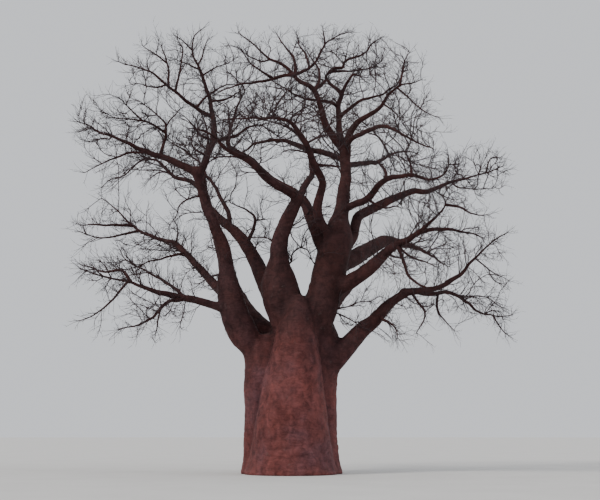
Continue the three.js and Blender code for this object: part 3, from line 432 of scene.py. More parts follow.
for name, (line, girth) in LIMBS.items():
    stout = np.nonzero(girth > THIN)[0]
    if len(stout) < 3:
        continue
    last = stout[-1]
    rooted = isinstance({**BOUGHS, **CROOKED}[name][0][0], str)
    collar = 1 + (0.24 if rooted else 0) * np.exp(-np.linalg.norm(line - line[0], axis=1) / (1.3 * girth[0]))
    r = girth * collar
    low = (line[:last + 1] - r[:last + 1, None]).min(0) - 0.35
    high = (line[:last + 1] + r[:last + 1, None]).max(0) + 0.35
    A, B = block(low, high)
    own = np.full(B - A, 1.0, np.float32)
    jump = max(1, int(0.12 / (np.linalg.norm(np.diff(line, axis=0), axis=1).mean() + 1e-9)))
    marks = list(range(0, last, jump)) + [last]
    for k0, k1 in zip(marks[:-1], marks[1:]):
        p, q, ra, rb = line[k0], line[k1], r[k0], r[k1]
        reach = max(ra, rb) + 0.34
        c, d = block(np.minimum(p, q) - reach, np.maximum(p, q) + reach)
        c = np.maximum(c, A)
        d = np.minimum(d, B)
        if (d <= c).any():
            continue
        X = axes[0][c[0]:d[0]][:, None, None]
        Y = axes[1][c[1]:d[1]][None, :, None]
        Z = axes[2][c[2]:d[2]][None, None, :]
        v = q - p
        t = np.clip(((X - p[0]) * v[0] + (Y - p[1]) * v[1] + (Z - p[2]) * v[2]) / (v @ v), 0, 1)
        dist = np.sqrt((X - p[0] - t * v[0]) ** 2 + (Y - p[1] - t * v[1]) ** 2 + (Z - p[2] - t * v[2]) ** 2) - (ra + (rb - ra) * t)
        part = own[c[0] - A[0]:d[0] - A[0], c[1] - A[1]:d[1] - A[1], c[2] - A[2]:d[2] - A[2]]
        np.minimum(part, dist, out=part)
    there = field[A[0]:B[0], A[1]:B[1], A[2]:B[2]]
    soft = float(np.clip(0.58 * girth[0], 0.05, 0.25))
    there[...] = knit(there, own, soft)

gzz = axes[2][None, None, :]
np.maximum(field, (-gzz).astype(np.float32), out=field)       # the flat cut at the ground
for k in range(3):                                            # closed at the grid's edge
    edge = [slice(None)] * 3
    for side in (0, -1):
        edge[k] = side
        field[tuple(edge)] = np.maximum(field[tuple(edge)], 0.02)
        edge[k] = slice(None)


def surface(field, origin, h):
    """The closed skin of everything below zero, one vertex in each crossed cell."""
    inside = field < 0
    count = np.zeros(np.array(field.shape) - 1, np.int8)
    for dx in (0, 1):
        for dy in (0, 1):
            for dz in (0, 1):
                count += inside[dx:inside.shape[0] - 1 + dx, dy:inside.shape[1] - 1 + dy, dz:inside.shape[2] - 1 + dz]
    cells = np.argwhere((count > 0) & (count < 8))
    number = np.full(count.shape, -1, np.int32)
    number[tuple(cells.T)] = np.arange(len(cells))
    total = np.zeros((len(cells), 3))
    hits = np.zeros(len(cells))
    for axis in range(3):
        others = [k for k in range(3) if k != axis]
        for u in (0, 1):
            for w in (0, 1):
                off = np.zeros(3, int)
                off[others[0]], off[others[1]] = u, w
                i0 = cells + off
                i1 = i0.copy()
                i1[:, axis] += 1
                f0 = field[tuple(i0.T)]
                f1 = field[tuple(i1.T)]
                cross = (f0 < 0) != (f1 < 0)
                t = np.where(cross, f0 / np.where(cross, f0 - f1, 1), 0)
                point = off[None, :].astype(float).repeat(len(cells), 0)
                point[:, axis] += t
                total += np.where(cross[:, None], point, 0)
                hits += cross
    points = origin + (cells + total / hits[:, None]) * h
    faces = []
    for axis in range(3):
        o1, o2 = [(1, 2), (2, 0), (0, 1)][axis]
        first = [slice(None)] * 3
        second = [slice(None)] * 3
        first[axis] = slice(0, -1)
        second[axis] = slice(1, None)
        for k in (o1, o2):
            first[k] = slice(1, -1)
            second[k] = slice(1, -1)
        s0, s1 = inside[tuple(first)], inside[tuple(second)]
        at = np.argwhere(s0 != s1)
        at[:, o1] += 1
        at[:, o2] += 1
        outward = s0[s0 != s1]
        corner = []
        for u, w in ((1, 1), (0, 1), (0, 0), (1, 0)):
            c = at.copy()
            c[:, o1] -= u
            c[:, o2] -= w
            corner.append(number[tuple(c.T)])
        quad = np.stack(corner, 1)
        quad[~outward] = quad[~outward][:, ::-1]
        faces.append(quad)
    return points, np.vstack(faces)


points, quads = surface(field, lo, VOXEL)
del field
# keep the one body that the trunk is in
parent = np.arange(len(points))
edges = np.vstack([quads[:, [0, 1]], quads[:, [1, 2]], quads[:, [2, 3]], quads[:, [3, 0]]])
edges = np.unique(np.sort(edges, 1), axis=0)
label = np.arange(len(points))
for _ in range(400):
    low_label = np.minimum(label[edges[:, 0]], label[edges[:, 1]])
    new = label.copy()
    np.minimum.at(new, edges[:, 0], low_label)
    np.minimum.at(new, edges[:, 1], low_label)
    new = new[new]
    if (new == label).all():
        break
    label = new
names, tally = np.unique(label, return_counts=True)
main = label == names[np.argmax(tally)]
renumber = np.cumsum(main) - 1
quads = renumber[quads[main[quads[:, 0]]]]
points = points[main]
edges = renumber[edges[main[edges[:, 0]]]]


def smooth(values, rounds, share=0.5):
    n = len(values)
    degree = np.bincount(edges.ravel(), minlength=n).astype(float)
    for _ in range(rounds):
        total = np.stack([np.bincount(edges[:, 0], values[edges[:, 1], k], n) + np.bincount(edges[:, 1], values[edges[:, 0], k], n) for k in range(values.shape[1])], 1)
        values = values + share * (total / degree[:, None] - values)
    return values


def normals_of(points, quads):
    n = np.cross(points[quads[:, 2]] - points[quads[:, 0]], points[quads[:, 3]] - points[quads[:, 1]])
    out = np.stack([sum(np.bincount(quads[:, c], n[:, k], len(points)) for c in range(4)) for k in range(3)], 1)
    return out / np.maximum(np.linalg.norm(out, axis=1), 1e-12)[:, None]


points = smooth(points, 2, 0.5)
points = smooth(points, 1, -0.35)
normal = normals_of(points, quads)

# the limb that each place on the bark belongs to: its course and its girth
course_p, course_t, course_r = [], [], []
for line, girth in LIMBS.values():
    t = np.gradient(line, axis=0)
    t /= np.linalg.norm(t, axis=1)[:, None]
    course_p.append(line)
    course_t.append(t)
    course_r.append(girth)
zs = np.linspace(0, 5.6, 29)
for name, column in COLUMNS.items():
    cx, cy, cr = column_line(column, zs)
    course_p.append(np.stack([cx, cy, zs], 1))
    t = np.gradient(course_p[-1], axis=0)
    course_t.append(t / np.linalg.norm(t, axis=1)[:, None])
    course_r.append(cr)
course_p, course_t, course_r = np.vstack(course_p), np.vstack(course_t), np.concatenate(course_r)
tree = kdtree.KDTree(len(course_p))
for i, p in enumerate(course_p):
    tree.insert(p, i)
tree.balance()


def belongs(points):
    """Course and girth of the limb that each point lies on."""
    index = np.array([min(((d - course_r[i], i) for _, i, d in tree.find_n(p, 5)))[1] for p in points])
    return course_t[index], course_r[index]


along, girth_at = belongs(points)
along = smooth(along, 6)
along /= np.linalg.norm(along, axis=1)[:, None]
girth_at = smooth(girth_at[:, None], 30)[:, 0]

KNOBS = []
for _ in range(70):
    i = int(rng.integers(len(points)))
    KNOBS.append((points[i].copy(), rng.uniform(0.10, 0.30), rng.choice([1, 1, -1]) * rng.uniform(0.25, 0.6)))


def relief(p, t, r):
    """How far the bark stands out: dents and swellings, folds along the limb, wrinkles across it, knobs."""
    big = np.clip(r / 0.6, 0.05, 1)
    mid = np.clip(r / 0.35, 0.08, 1)
    lengthwise = p - 0.82 * (p * t).sum(1)[:, None] * t
    folded = np.clip(0.35 + 1.3 * noise(p * 0.42, 10), 0.1, 1.2)
    out = 0.060 * big * noise(p * 0.72, 1)
    out += 0.022 * big * noise(p * 1.9, 11)
    out += 0.024 * big * folded * noise(lengthwise * 1.9, 2)
    out += 0.013 * mid * folded * noise(lengthwise * 5.0, 3)
    out += 0.013 * mid * noise(p * 3.4, 4)
    s = (p * t).sum(1)
    bend = 0.30 * noise(p * 0.9, 7) + 0.07 * noise(p * 3.0, 8)
    wave = 0.5 + 0.5 * np.cos((s + bend) * 2 * np.pi / 0.31)
    patch = np.clip(0.10 + 1.3 * noise(p * 0.6, 9), 0, 1)
    foot = np.exp(-((p[:, 2] - 0.95) / 0.55) ** 2) * (r > 0.5) * np.clip(0.55 + 0.9 * noise(p * 1.3, 12), 0, 1)
    out -= (0.010 * patch + 0.032 * foot) * mid * wave ** 5
    for centre, width, height in KNOBS:
        q = ((p - centre) ** 2).sum(1) / width ** 2
        near = q < 9
        out[near] += height * width * 0.35 * np.clip(r[near] / 0.5, 0.1, 1) * np.exp(-q[near])
    return out


rise = relief(points, along, girth_at)
rise *= np.clip((points[:, 2] - 0.02) / 0.14, 0, 1)
base = points.copy()
points = points + normal * rise[:, None]
points[:, 2] = np.where(base[:, 2] < 0.6 * VOXEL, 0.0, np.maximum(points[:, 2], 0.0))

# hollows and crests of the bark, for its colour: painted shade in the hollows, painted light on the crests
wide = smooth(points, 14)
crest = ((points - wide) * normals_of(wide, quads)).sum(1)
crest = np.clip(crest / 0.06, -1, 1)


def new_mesh(name, points, faces, material, smooth_shade=True, **attributes):
    """A mesh object from points and faces of one size."""
    mesh = bpy.data.meshes.new(name)
    corners = faces.shape[1]
    mesh.vertices.add(len(points))
    mesh.vertices.foreach_set("co", np.ascontiguousarray(points, np.float32).ravel())
    mesh.loops.add(faces.size)
    mesh.loops.foreach_set("vertex_index", np.ascontiguousarray(faces, np.int32).ravel())
    mesh.polygons.add(len(faces))
    mesh.polygons.foreach_set("loop_start", np.arange(0, faces.size, corners, dtype=np.int32))
    mesh.polygons.foreach_set("use_smooth", np.full(len(faces), smooth_shade))
    for key, values in attributes.items():
        layer = mesh.attributes.new(key, "FLOAT", "POINT")
        layer.data.foreach_set("value", np.ascontiguousarray(values, np.float32))
    mesh.update(calc_edges=True)
    mesh.validate()
    mesh.materials.append(material)
    obj = bpy.data.objects.new(name, mesh)
    bpy.context.collection.objects.link(obj)
    return obj


# ----------------------------------------------------------------- materials
def shader(name, roughness):
    material = bpy.data.materials.new(name)
    material.use_nodes = True
    nodes = material.node_tree.nodes
    bsdf = nodes["Principled BSDF"]
    bsdf.inputs["Roughness"].default_value = roughness
    bsdf.inputs["Specular IOR Level"].default_value = 0.15
    return material, nodes, material.node_tree.links, bsdf


def ramp(nodes, stops):
    node = nodes.new("ShaderNodeValToRGB")
    node.color_ramp.elements[0].position, node.color_ramp.elements[0].color = stops[0][0], (*stops[0][1], 1)
    node.color_ramp.elements[1].position, node.color_ramp.elements[1].color = stops[-1][0], (*stops[-1][1], 1)
    for at, colour in stops[1:-1]:
        node.color_ramp.elements.new(at).color = (*colour, 1)
    return node


def noise_node(nodes, links, vector, scale, detail=4, rough=0.55, stretch=None, swirl=0.0):
    if stretch:
        mapping = nodes.new("ShaderNodeMapping")
        mapping.inputs["Scale"].default_value = stretch
        links.new(vector, mapping.inputs["Vector"])
        vector = mapping.outputs["Vector"]
    node = nodes.new("ShaderNodeTexNoise")
    node.inputs["Scale"].default_value = scale
    node.inputs["Detail"].default_value = detail
    node.inputs["Roughness"].default_value = rough
    node.inputs["Distortion"].default_value = swirl
    links.new(vector, node.inputs["Vector"])
    return node.outputs["Fac"]


def mix(nodes, links, kind, fac, a, b):
    node = nodes.new("ShaderNodeMix")
    node.data_type = "RGBA"
    node.blend_type = kind
    for socket, value in ((node.inputs["Factor"], fac), (node.inputs["A"], a), (node.inputs["B"], b)):
        if hasattr(value, "is_output"):
            links.new(value, socket)
        elif isinstance(value, (int, float)):
            socket.default_value = value
        else:
            socket.default_value = (*value, 1)
    return node.outputs["Result"]


def bark_material(name):
    material, nodes, links, bsdf = shader(name, 0.8)
    where = nodes.new("ShaderNodeTexCoord").outputs["Object"]
    broad = noise_node(nodes, links, where, 0.55, 4, 0.6)
    stem = ramp(nodes, [(0.32, BARK_RED), (0.50, BARK), (0.68, BARK_MAUVE)])
    links.new(broad, stem.inputs["Fac"])
    limb = ramp(nodes, [(0.32, LIMB_BROWN), (0.70, LIMB_GREY)])
    links.new(broad, limb.inputs["Fac"])
    girth = nodes.new("ShaderNodeAttribute")
    girth.attribute_name = "girth"
    stout = nodes.new("ShaderNodeMapRange")
    stout.interpolation_type = "SMOOTHSTEP"
    stout.inputs["From Min"].default_value = 0.12
    stout.inputs["From Max"].default_value = 0.85
    links.new(girth.outputs["Fac"], stout.inputs["Value"])
    split = nodes.new("ShaderNodeSeparateXYZ")
    links.new(where, split.inputs["Vector"])
    low_down = nodes.new("ShaderNodeMapRange")
    low_down.interpolation_type = "SMOOTHSTEP"
    low_down.inputs["From Min"].default_value = 6.7
    low_down.inputs["From Max"].default_value = 3.1
    links.new(split.outputs["Z"], low_down.inputs["Value"])
    share = nodes.new("ShaderNodeMath")
    share.operation = "MULTIPLY"
    links.new(stout.outputs["Result"], share.inputs[0])
    links.new(low_down.outputs["Result"], share.inputs[1])
    colour = mix(nodes, links, "MIX", share.outputs[0], limb.outputs["Color"], stem.outputs["Color"])
    streak = noise_node(nodes, links, where, 2.2, 3, 0.55, (1, 1, 0.45), 0.9)
    streaks = ramp(nodes, [(0.34, (0.62, 0.58, 0.60)), (0.54, (1, 1, 1)), (0.72, (1.22, 1.17, 1.16))])
    links.new(streak, streaks.inputs["Fac"])
    colour = mix(nodes, links, "MULTIPLY", 0.8, colour, streaks.outputs["Color"])
    blotch = noise_node(nodes, links, where, 4.2, 3.5, 0.60, None, 0.7)
    blotches = ramp(nodes, [(0.36, (0.62, 0.60, 0.62)), (0.52, (0.98, 0.98, 0.98)), (0.66, (1.22, 1.2, 1.2))])
    links.new(blotch, blotches.inputs["Fac"])
    colour = mix(nodes, links, "MULTIPLY", 0.85, colour, blotches.outputs["Color"])
    lichen = noise_node(nodes, links, where, 3.4, 7, 0.72)
    spots = ramp(nodes, [(0.60, (0, 0, 0)), (0.68, (1, 1, 1))])
    links.new(lichen, spots.inputs["Fac"])
    faint = nodes.new("ShaderNodeMath")
    faint.operation = "MULTIPLY"
    faint.inputs[1].default_value = 0.22
    links.new(spots.outputs["Color"], faint.inputs[0])
    colour = mix(nodes, links, "MIX", faint.outputs[0], colour, LICHEN)
    # painted shade and light: the bark colour is darkened in its hollows and the grooves between columns, and lightened
    # on its crests
    attribute = nodes.new("ShaderNodeAttribute")
    attribute.attribute_name = "crest"
    hollow_shading = ramp(nodes, [(0.0, (0.22, 0.17, 0.19)), (0.40, (0.84, 0.82, 0.83)), (0.55, (1.02, 1.0, 1.0)), (1.0, (1.40, 1.34, 1.34))])
    shift = nodes.new("ShaderNodeMapRange")
    shift.inputs["From Min"].default_value = -1
    links.new(attribute.outputs["Fac"], shift.inputs["Value"])
    links.new(shift.outputs["Result"], hollow_shading.inputs["Fac"])
    colour = mix(nodes, links, "MULTIPLY", 1.0, colour, hollow_shading.outputs["Color"])
    # cross wrinkles: thin dark lines that wander round the stem
    wrinkle = noise_node(nodes, links, where, 1.7, 3, 0.5, (0.8, 0.8, 3.0), 1.0)
    lines = ramp(nodes, [(0.47, (1, 1, 1)), (0.50, (0.55, 0.52, 0.53)), (0.53, (1, 1, 1))])
    links.new(wrinkle, lines.inputs["Fac"])
    colour = mix(nodes, links, "MULTIPLY", 0.5, colour, lines.outputs["Color"])
    links.new(colour, bsdf.inputs["Base Color"])
    pores = noise_node(nodes, links, where, 12, 3, 0.6)
    total = nodes.new("ShaderNodeMath")
    total.operation = "MULTIPLY_ADD"
    total.inputs[1].default_value = 2.0
    links.new(wrinkle, total.inputs[0])
    links.new(pores, total.inputs[2])
    bump = nodes.new("ShaderNodeBump")
    bump.inputs["Strength"].default_value = 0.6
    bump.inputs["Distance"].default_value = 0.035
    links.new(total.outputs[0], bump.inputs["Height"])
    links.new(bump.outputs["Normal"], bsdf.inputs["Normal"])
    gloss = nodes.new("ShaderNodeMapRange")
    gloss.inputs["To Min"].default_value = 0.60
    gloss.inputs["To Max"].default_value = 0.92
    links.new(blotch, gloss.inputs["Value"])
    links.new(gloss.outputs["Result"], bsdf.inputs["Roughness"])
    return material


def twig_material(name, colour):
    material, nodes, links, bsdf = shader(name, 0.8)
    where = nodes.new("ShaderNodeTexCoord").outputs["Object"]
    patch = noise_node(nodes, links, where, 5, 3)
    shade = ramp(nodes, [(0.3, tuple(0.72 * c for c in colour)), (0.7, tuple(1.25 * c for c in colour))])
    links.new(patch, shade.inputs["Fac"])
    links.new(shade.outputs["Color"], bsdf.inputs["Base Color"])
    bump = nodes.new("ShaderNodeBump")
    bump.inputs["Strength"].default_value = 0.3
    bump.inputs["Distance"].default_value = 0.004
    links.new(noise_node(nodes, links, where, 60, 2), bump.inputs["Height"])
    links.new(bump.outputs["Normal"], bsdf.inputs["Normal"])
    return material


BARK = (0.140, 0.047, 0.045)
BARK_RED = (0.160, 0.047, 0.041)
BARK_MAUVE = (0.122, 0.054, 0.061)
LIMB_BROWN = (0.047, 0.017, 0.015)
LIMB_GREY = (0.050, 0.023, 0.024)
LICHEN = (0.150, 0.120, 0.112)
TWIG_COLOURS = {"dark": (0.034, 0.022, 0.025), "warm": (0.048, 0.028, 0.028), "grey": (0.050, 0.038, 0.042)}

bark_skin = bark_material("bark")
twig_skins = {key: twig_material(f"twig_{key}", colour) for key, colour in TWIG_COLOURS.items()}
branch_skin = twig_material("branch", (0.058, 0.036, 0.038))

bark = new_mesh("bark", points, quads, bark_skin, crest=crest, girth=smooth(girth_at[:, None], 140)[:, 0])


# --------------------------------------------------------------- tubes of wood
def frames_along(line):
    t = np.gradient(line, axis=0)
    t /= np.maximum(np.linalg.norm(t, axis=1), 1e-9)[:, None]
    u = np.cross(t[0], (0.0, 0.0, 1.0) if abs(t[0][2]) < 0.9 else (1.0, 0.0, 0.0))
    u /= np.linalg.norm(u)
    out = [u]
    for k in range(1, len(line)):
        u = u - (u @ t[k]) * t[k]
        u /= max(np.linalg.norm(u), 1e-9)
        out.append(u)
    U = np.array(out)
    return t, U, np.cross(t, U)


class Tubes:
    """Closed tubes gathered into one mesh of triangles."""

    def __init__(self):
        self.points, self.faces, self.girth, self.total = [], [], [], 0

    def add(self, line, radius, sides, bumpy=False):
        n = len(line)
        t, U, V = frames_along(line)
        angle = 2 * np.pi * np.arange(sides) / sides
        ring = np.cos(angle)[None, :, None] * U[:, None, :] + np.sin(angle)[None, :, None] * V[:, None, :]
        if bumpy:
            p = (line[:, None, :] + ring * radius[:, None, None]).reshape(-1, 3)
            tt = np.repeat(t, sides, 0)
            out = relief(p, tt, np.repeat(radius, sides))
            p = p + ring.reshape(-1, 3) * np.clip(out, -0.25 * np.repeat(radius, sides), 0.3 * np.repeat(radius, sides))[:, None]
        else:
            p = (line[:, None, :] + ring * radius[:, None, None]).reshape(-1, 3)
        p = np.vstack([p, line[:1] - t[:1] * radius[0] * 0.5, line[-1:] + t[-1:] * radius[-1] * 0.8])
        j = np.arange(sides)
        k = (np.arange(n - 1) * sides)[:, None]
        a, b = k + j, k + (j + 1) % sides
        f = np.concatenate([np.stack([a, b, b + sides], -1).reshape(-1, 3), np.stack([a, b + sides, a + sides], -1).reshape(-1, 3)])
        first, last = n * sides, n * sides + 1
        f = np.vstack([f, np.stack([np.full(sides, first), (j + 1) % sides, j], 1), np.stack([np.full(sides, last), (n - 1) * sides + j, (n - 1) * sides + (j + 1) % sides], 1)])
        self.points.append(p)
        self.girth.append(np.concatenate([np.repeat(radius, sides), radius[:1], radius[-1:]]))
        self.faces.append(f + self.total)
        self.total += len(p)

    def build(self, name, material):
        girth = np.concatenate(self.girth)
        return new_mesh(name, np.vstack(self.points), np.vstack(self.faces), material, girth=girth, crest=0 * girth)


outer = Tubes()
for name, (line, girth) in LIMBS.items():
    thin = np.nonzero(girth <= THIN * 1.25)[0]
    if len(thin) < 4:
        continue
    first = max(0, thin[0] - 3) if thin[0] > 0 else 0
    part, r = line[first:], girth[first:].copy()
    if first > 0:
        r[:3] *= np.array([0.80, 0.90, 0.97])
    else:
        d = np.linalg.norm(part - part[0], axis=1)
        r *= 1 + 0.30 * np.exp(-d / (1.6 * r[0] + 0.05))
    outer.add(part, r, 9, bumpy=True)

# ------------------------------------------------- branches that fill the masses
node_p, node_up, node_dir, node_r0 = [], [], [], []
for name, (line, girth) in LIMBS.items():
    step_long = np.linalg.norm(np.diff(line, axis=0), axis=1).mean()
    skip = max(1, int(round(STEP / step_long)))
    every = SPROUT_FAR if line[-1][1] > 2.4 else SPROUT_EVERY
    before, next_at = -1, rng.uniform(*every)
    for k in range(0, len(line), skip):
        last = k + skip >= len(line)
        sprouts = last or (k * step_long >= next_at and k / len(line) > 0.20 and girth[k] < 0.30)
        if sprouts:
            next_at = k * step_long + rng.uniform(*every)
        node_p.append(line[k])
        node_up.append(before)
        d = line[min(k + 1, len(line) - 1)] - line[max(k - 1, 0)]
        node_dir.append(d / np.linalg.norm(d))
        node_r0.append(girth[k] if sprouts else -girth[k])
        before = len(node_p) - 1
limb_nodes = len(node_p)

shells = []
for name in sorted(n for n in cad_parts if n.startswith("twigs")):
    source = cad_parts[name].data
    shell = BVHTree.FromPolygons([v.co.copy() for v in source.vertices], [tuple(p.vertices) for p in source.polygons])
    low, high = (np.array(v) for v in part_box(name))
    shells.append((shell, low - BUD_JOIN, high + BUD_JOIN, HABIT.get(name, HABIT_ELSE), FULL.get(name, 1.0)))

low = np.min([v[1] for v in shells], 0)
high = np.max([v[2] for v in shells], 0)
grid = [np.arange(low[k], high[k], BUD_GRID) for k in range(3)]
tries = np.stack(np.meshgrid(*grid, indexing="ij"), -1).reshape(-1, 3)
tries += rng.uniform(-0.5, 0.5, tries.shape) * BUD_GRID
buds, bud_lift, bud_full = [], [], []
for p in tries:
    near = []
    inside = None
    for shell, a, b, habit, full in shells:
        if (p < a).any() or (p > b).any():
            continue
        at, n, _, dist = shell.find_nearest(Vector(p), BUD_JOIN)
        if at is None:
            near.append((-1.0, habit, full)) if (p > a + BUD_JOIN).all() and (p < b - BUD_JOIN).all() and shell.ray_cast(Vector(p), Vector((0, 0, 1)))[3] is not None and shell.ray_cast(Vector(p), Vector((0, 0, -1)))[3] is not None else None
            continue
        deep = -dist if (Vector(p) - at).dot(n) < 0 else dist
        near.append((deep, habit, full))
    near.sort()
    if near and (near[0][0] < -BUD_DEPTH or (len(near) > 1 and near[1][0] < BUD_JOIN and near[0][0] + near[1][0] < 0.95 * BUD_JOIN)):
        buds.append(p)
        bud_lift.append(near[0][1])
        bud_full.append(near[0][2])
LOW, HIGH = (np.array(v) for v in CAD_BOX)


def mass_at(p):
    """How full the mass round a point is, or None where there is none."""
    for shell, a, b, _, full in shells:
        if (p > a + BUD_JOIN).all() and (p < b - BUD_JOIN).all():
            at, n, _, dist = shell.find_nearest(Vector(p))
            if (Vector(p) - at).dot(n) < 0 and dist > 0.15:
                return full
    return None


for line, girth in LIMBS.values():
    # and thinly round every lesser limb
    long = np.linalg.norm(np.diff(line, axis=0), axis=1).mean()
    end_way = line[-1] - line[-9]
    for p, r in zip(line, girth):
        if r > 0.30 or p[2] < 5.0:
            continue
        more = 1 + sum(extra for x, z, w, h, extra in THICKETS if ((p[0] - x) / w) ** 2 + ((p[2] - z) / h) ** 2 < 1)
        for _ in range(rng.poisson(long * HAZE * more)):
            away = rng.normal(size=3)
            far = rng.uniform(*HAZE_AWAY)
            bud = p + away / np.linalg.norm(away) * far
            if (bud < LOW + 0.3).any() or (bud > HIGH - 0.3).any():
                continue
            around = mass_at(bud)
            if around is None and (far > HAZE_OUT or (bud - line[-1]) @ end_way > 0):
                continue
            if around is not None and rng.random() > 1.25 * around * more:
                continue
            buds.append(bud)
            bud_lift.append(0.45)
            bud_full.append(9.0)
buds, bud_lift, bud_full = np.array(buds), np.array(bud_lift), np.array(bud_full)
closed = np.ones(len(buds), bool)
for x, z, w, h in OPENINGS:
    closed &= ((buds[:, 0] - x) / w) ** 2 + ((buds[:, 2] - z) / h) ** 2 > 1
buds, bud_lift, bud_full = buds[closed], bud_lift[closed], bud_full[closed]

# the crown is about as open seen through its deep middle as through its thin edge
column = np.floor(buds[:, [0, 2]] / CELL).astype(int)
_, which, many = np.unique(column, axis=0, return_inverse=True, return_counts=True)
which = which.ravel()
spread_out = rng.random(len(buds)) < bud_full * np.minimum(1.0, COLUMN_MOST / many[which])
buds, bud_lift = buds[spread_out], bud_lift[spread_out]

crotch = np.array(CROTCH)
alive = np.ones(len(buds), bool)
drawn_to = np.full(len(buds), -1)
drawn_d = np.full(len(buds), np.inf)
fresh = [i for i in range(limb_nodes) if node_r0[i] > 0]
node_lift = [0.0] * limb_nodes
children = {}
for season in range(140):
    if not fresh or not alive.any():
        break
    tree = kdtree.KDTree(len(fresh))
    for i in fresh:
        tree.insert(node_p[i], i)
    tree.balance()
    out_at = {i: (node_p[i] - crotch) / np.linalg.norm(node_p[i] - crotch) for i in fresh}
    for b in np.nonzero(alive)[0]:
        bud = buds[b]
        found = tree.find_n(bud, 7)
        if found[0][2] < BUD_TAKEN:
            alive[b] = False
            continue
        for _, i, d in found:
            if d >= drawn_d[b] or d > BUD_REACH:
                break
            if (bud - node_p[i]) @ out_at[i] > FORWARD * d:
                drawn_d[b], drawn_to[b] = d, i
                break
    pull = {}
    for b in np.nonzero(alive & (drawn_to >= 0))[0]:
        i = drawn_to[b]
        v = (buds[b] - node_p[i]) / drawn_d[b]
        if i in pull:
            pull[i][0] += v
            pull[i][1] += bud_lift[b]
            pull[i][2] += 1
        else:
            pull[i] = [v.copy(), bud_lift[b], 1]
    fresh = []
    for i, (v, lift, n) in pull.items():
        size_v = np.linalg.norm(v)
        if size_v < 1e-6:
            continue
        keep_on = 0.75 if i >= limb_nodes else 0.15
        d = v / size_v + keep_on * node_dir[i] + np.array([0, 0, 0.12 * lift / n]) + 0.26 * rng.normal(size=3)
        d /= np.linalg.norm(d)
        if any(d @ node_dir[c] > 0.93 for c in children.get(i, ())) or len(children.get(i, ())) > 3:
            continue
        new = node_p[i] + d * STEP * rng.uniform(0.8, 1.2)
        if new[2] < 4.2 or (new > HIGH - 0.12).any() or (new < LOW + 0.12).any():
            continue
        node_p.append(new)
        node_up.append(i)
        node_dir.append(d)
        node_r0.append(1.0)
        node_lift.append(lift / n)
        children.setdefault(i, []).append(len(node_p) - 1)
        fresh.append(len(node_p) - 1)
P = np.array(node_p)
UP = np.array(node_up)

# girth from the tips down
tipward = np.zeros(len(P))
for i in range(len(P) - 1, limb_nodes - 1, -1):
    own = max(tipward[i], SHOOT_R ** PIPE)
    tipward[i] = own
    if UP[i] >= limb_nodes:
        tipward[UP[i]] += own
R = tipward ** (1 / PIPE)
R[:limb_nodes] = np.abs(np.array(node_r0[:limb_nodes]))
# a branch is never stouter than most of what carries it
for i in range(limb_nodes, len(P)):
    R[i] = min(R[i], 0.92 * R[UP[i]] if UP[i] < limb_nodes else R[UP[i]])

# chains: each runs on through its stoutest child
best = np.full(len(P), -1)
for i in range(limb_nodes, len(P)):
    u = UP[i]
    if u >= limb_nodes and (best[u] < 0 or R[i] > R[best[u]]):
        best[u] = i
chains = []
for i in range(limb_nodes, len(P)):
    if UP[i] < limb_nodes or best[UP[i]] != i:
        chain = [UP[i], i]
        while best[chain[-1]] >= 0:
            chain.append(best[chain[-1]])
        chains.append(chain)

# which spray a branch belongs to: all that grows from one place on a limb
spray = np.full(len(P), -1)
count = 0
for i in range(limb_nodes, len(P)):
    if UP[i] < limb_nodes:
        spray[i] = count
        count += 1
    else:
        spray[i] = spray[UP[i]]
tint = rng.integers(0, 3, count)
keys = list(TWIG_COLOURS)

branches = [Tubes()]
twig_base, twig_dir, twig_r, twig_lift, twig_tint = [], [], [], [], []
for chain in chains:
    line = P[chain]
    radius = R[chain].copy()
    radius[0] = min(radius[0], radius[1] * 1.25)
    # soften the corners
    if len(line) > 3:
        line = line.copy()
        line[1:-1] = 0.5 * line[1:-1] + 0.25 * (line[:-2] + line[2:])
    radius[-1] *= 0.7
    sides = 6 if radius[1] > 0.035 else (5 if radius[1] > 0.018 else 4)
    if branches[-1].total > 90000:
        branches.append(Tubes())
    branches[-1].add(line, radius, sides)
    seg = np.linalg.norm(np.diff(line, axis=0), axis=1)
    far = np.concatenate([[0], np.cumsum(seg)])
    at = 0.10 + TWIG_EVERY * rng.random()
    lift = node_lift[chain[1]] if chain[1] < len(node_lift) else 0.3
    t_id = tint[spray[chain[1]]]
    while at < far[-1] + 0.02:
        k = min(np.searchsorted(far, at) - 1, len(seg) - 1)
        k = max(k, 0)
        f = min((at - far[k]) / seg[k], 1)
        r_here = radius[k] + (radius[k + 1] - radius[k]) * f
        if r_here < 0.030 and rng.random() < (1.0 if r_here < 0.016 else 0.6):
            twig_base.append(line[k] + (line[k + 1] - line[k]) * f)
            twig_dir.append((line[k + 1] - line[k]) / seg[k])
            twig_r.append(min(r_here * 0.8, TWIG_R))
            twig_lift.append(lift)
            twig_tint.append(t_id)
        at += TWIG_EVERY * rng.uniform(0.6, 1.4)
    # the tip itself goes on as a twig
    twig_base.append(line[-1])
    twig_dir.append((line[-1] - line[-2]) / seg[-1])
    twig_r.append(0.92 * TWIG_R)
    twig_lift.append(lift)
    twig_tint.append(t_id + 10)

# and the outer ends of the limbs carry twigs of their own
for name, (line, girth) in LIMBS.items():
    seg = np.linalg.norm(np.diff(line, axis=0), axis=1)
    far = np.concatenate([[0], np.cumsum(seg)])
    at = float(np.interp(-0.075, -girth, far))
    while at < far[-1]:
        k = min(int(np.searchsorted(far, at)), len(seg)) - 1
        k = max(k, 0)
        f = (at - far[k]) / seg[k]
        twig_base.append(line[k] + (line[k + 1] - line[k]) * f)
        twig_dir.append((line[k + 1] - line[k]) / seg[k])
        twig_r.append(TWIG_R)
        twig_lift.append(0.3)
        twig_tint.append(0)
        at += 0.6 * TWIG_EVERY * rng.uniform(0.6, 1.4)
    for _ in range(3):
        twig_base.append(line[-1])
        twig_dir.append((line[-1] - line[-2]) / seg[-1])
        twig_r.append(TWIG_R)
        twig_lift.append(0.2)
        twig_tint.append(0)

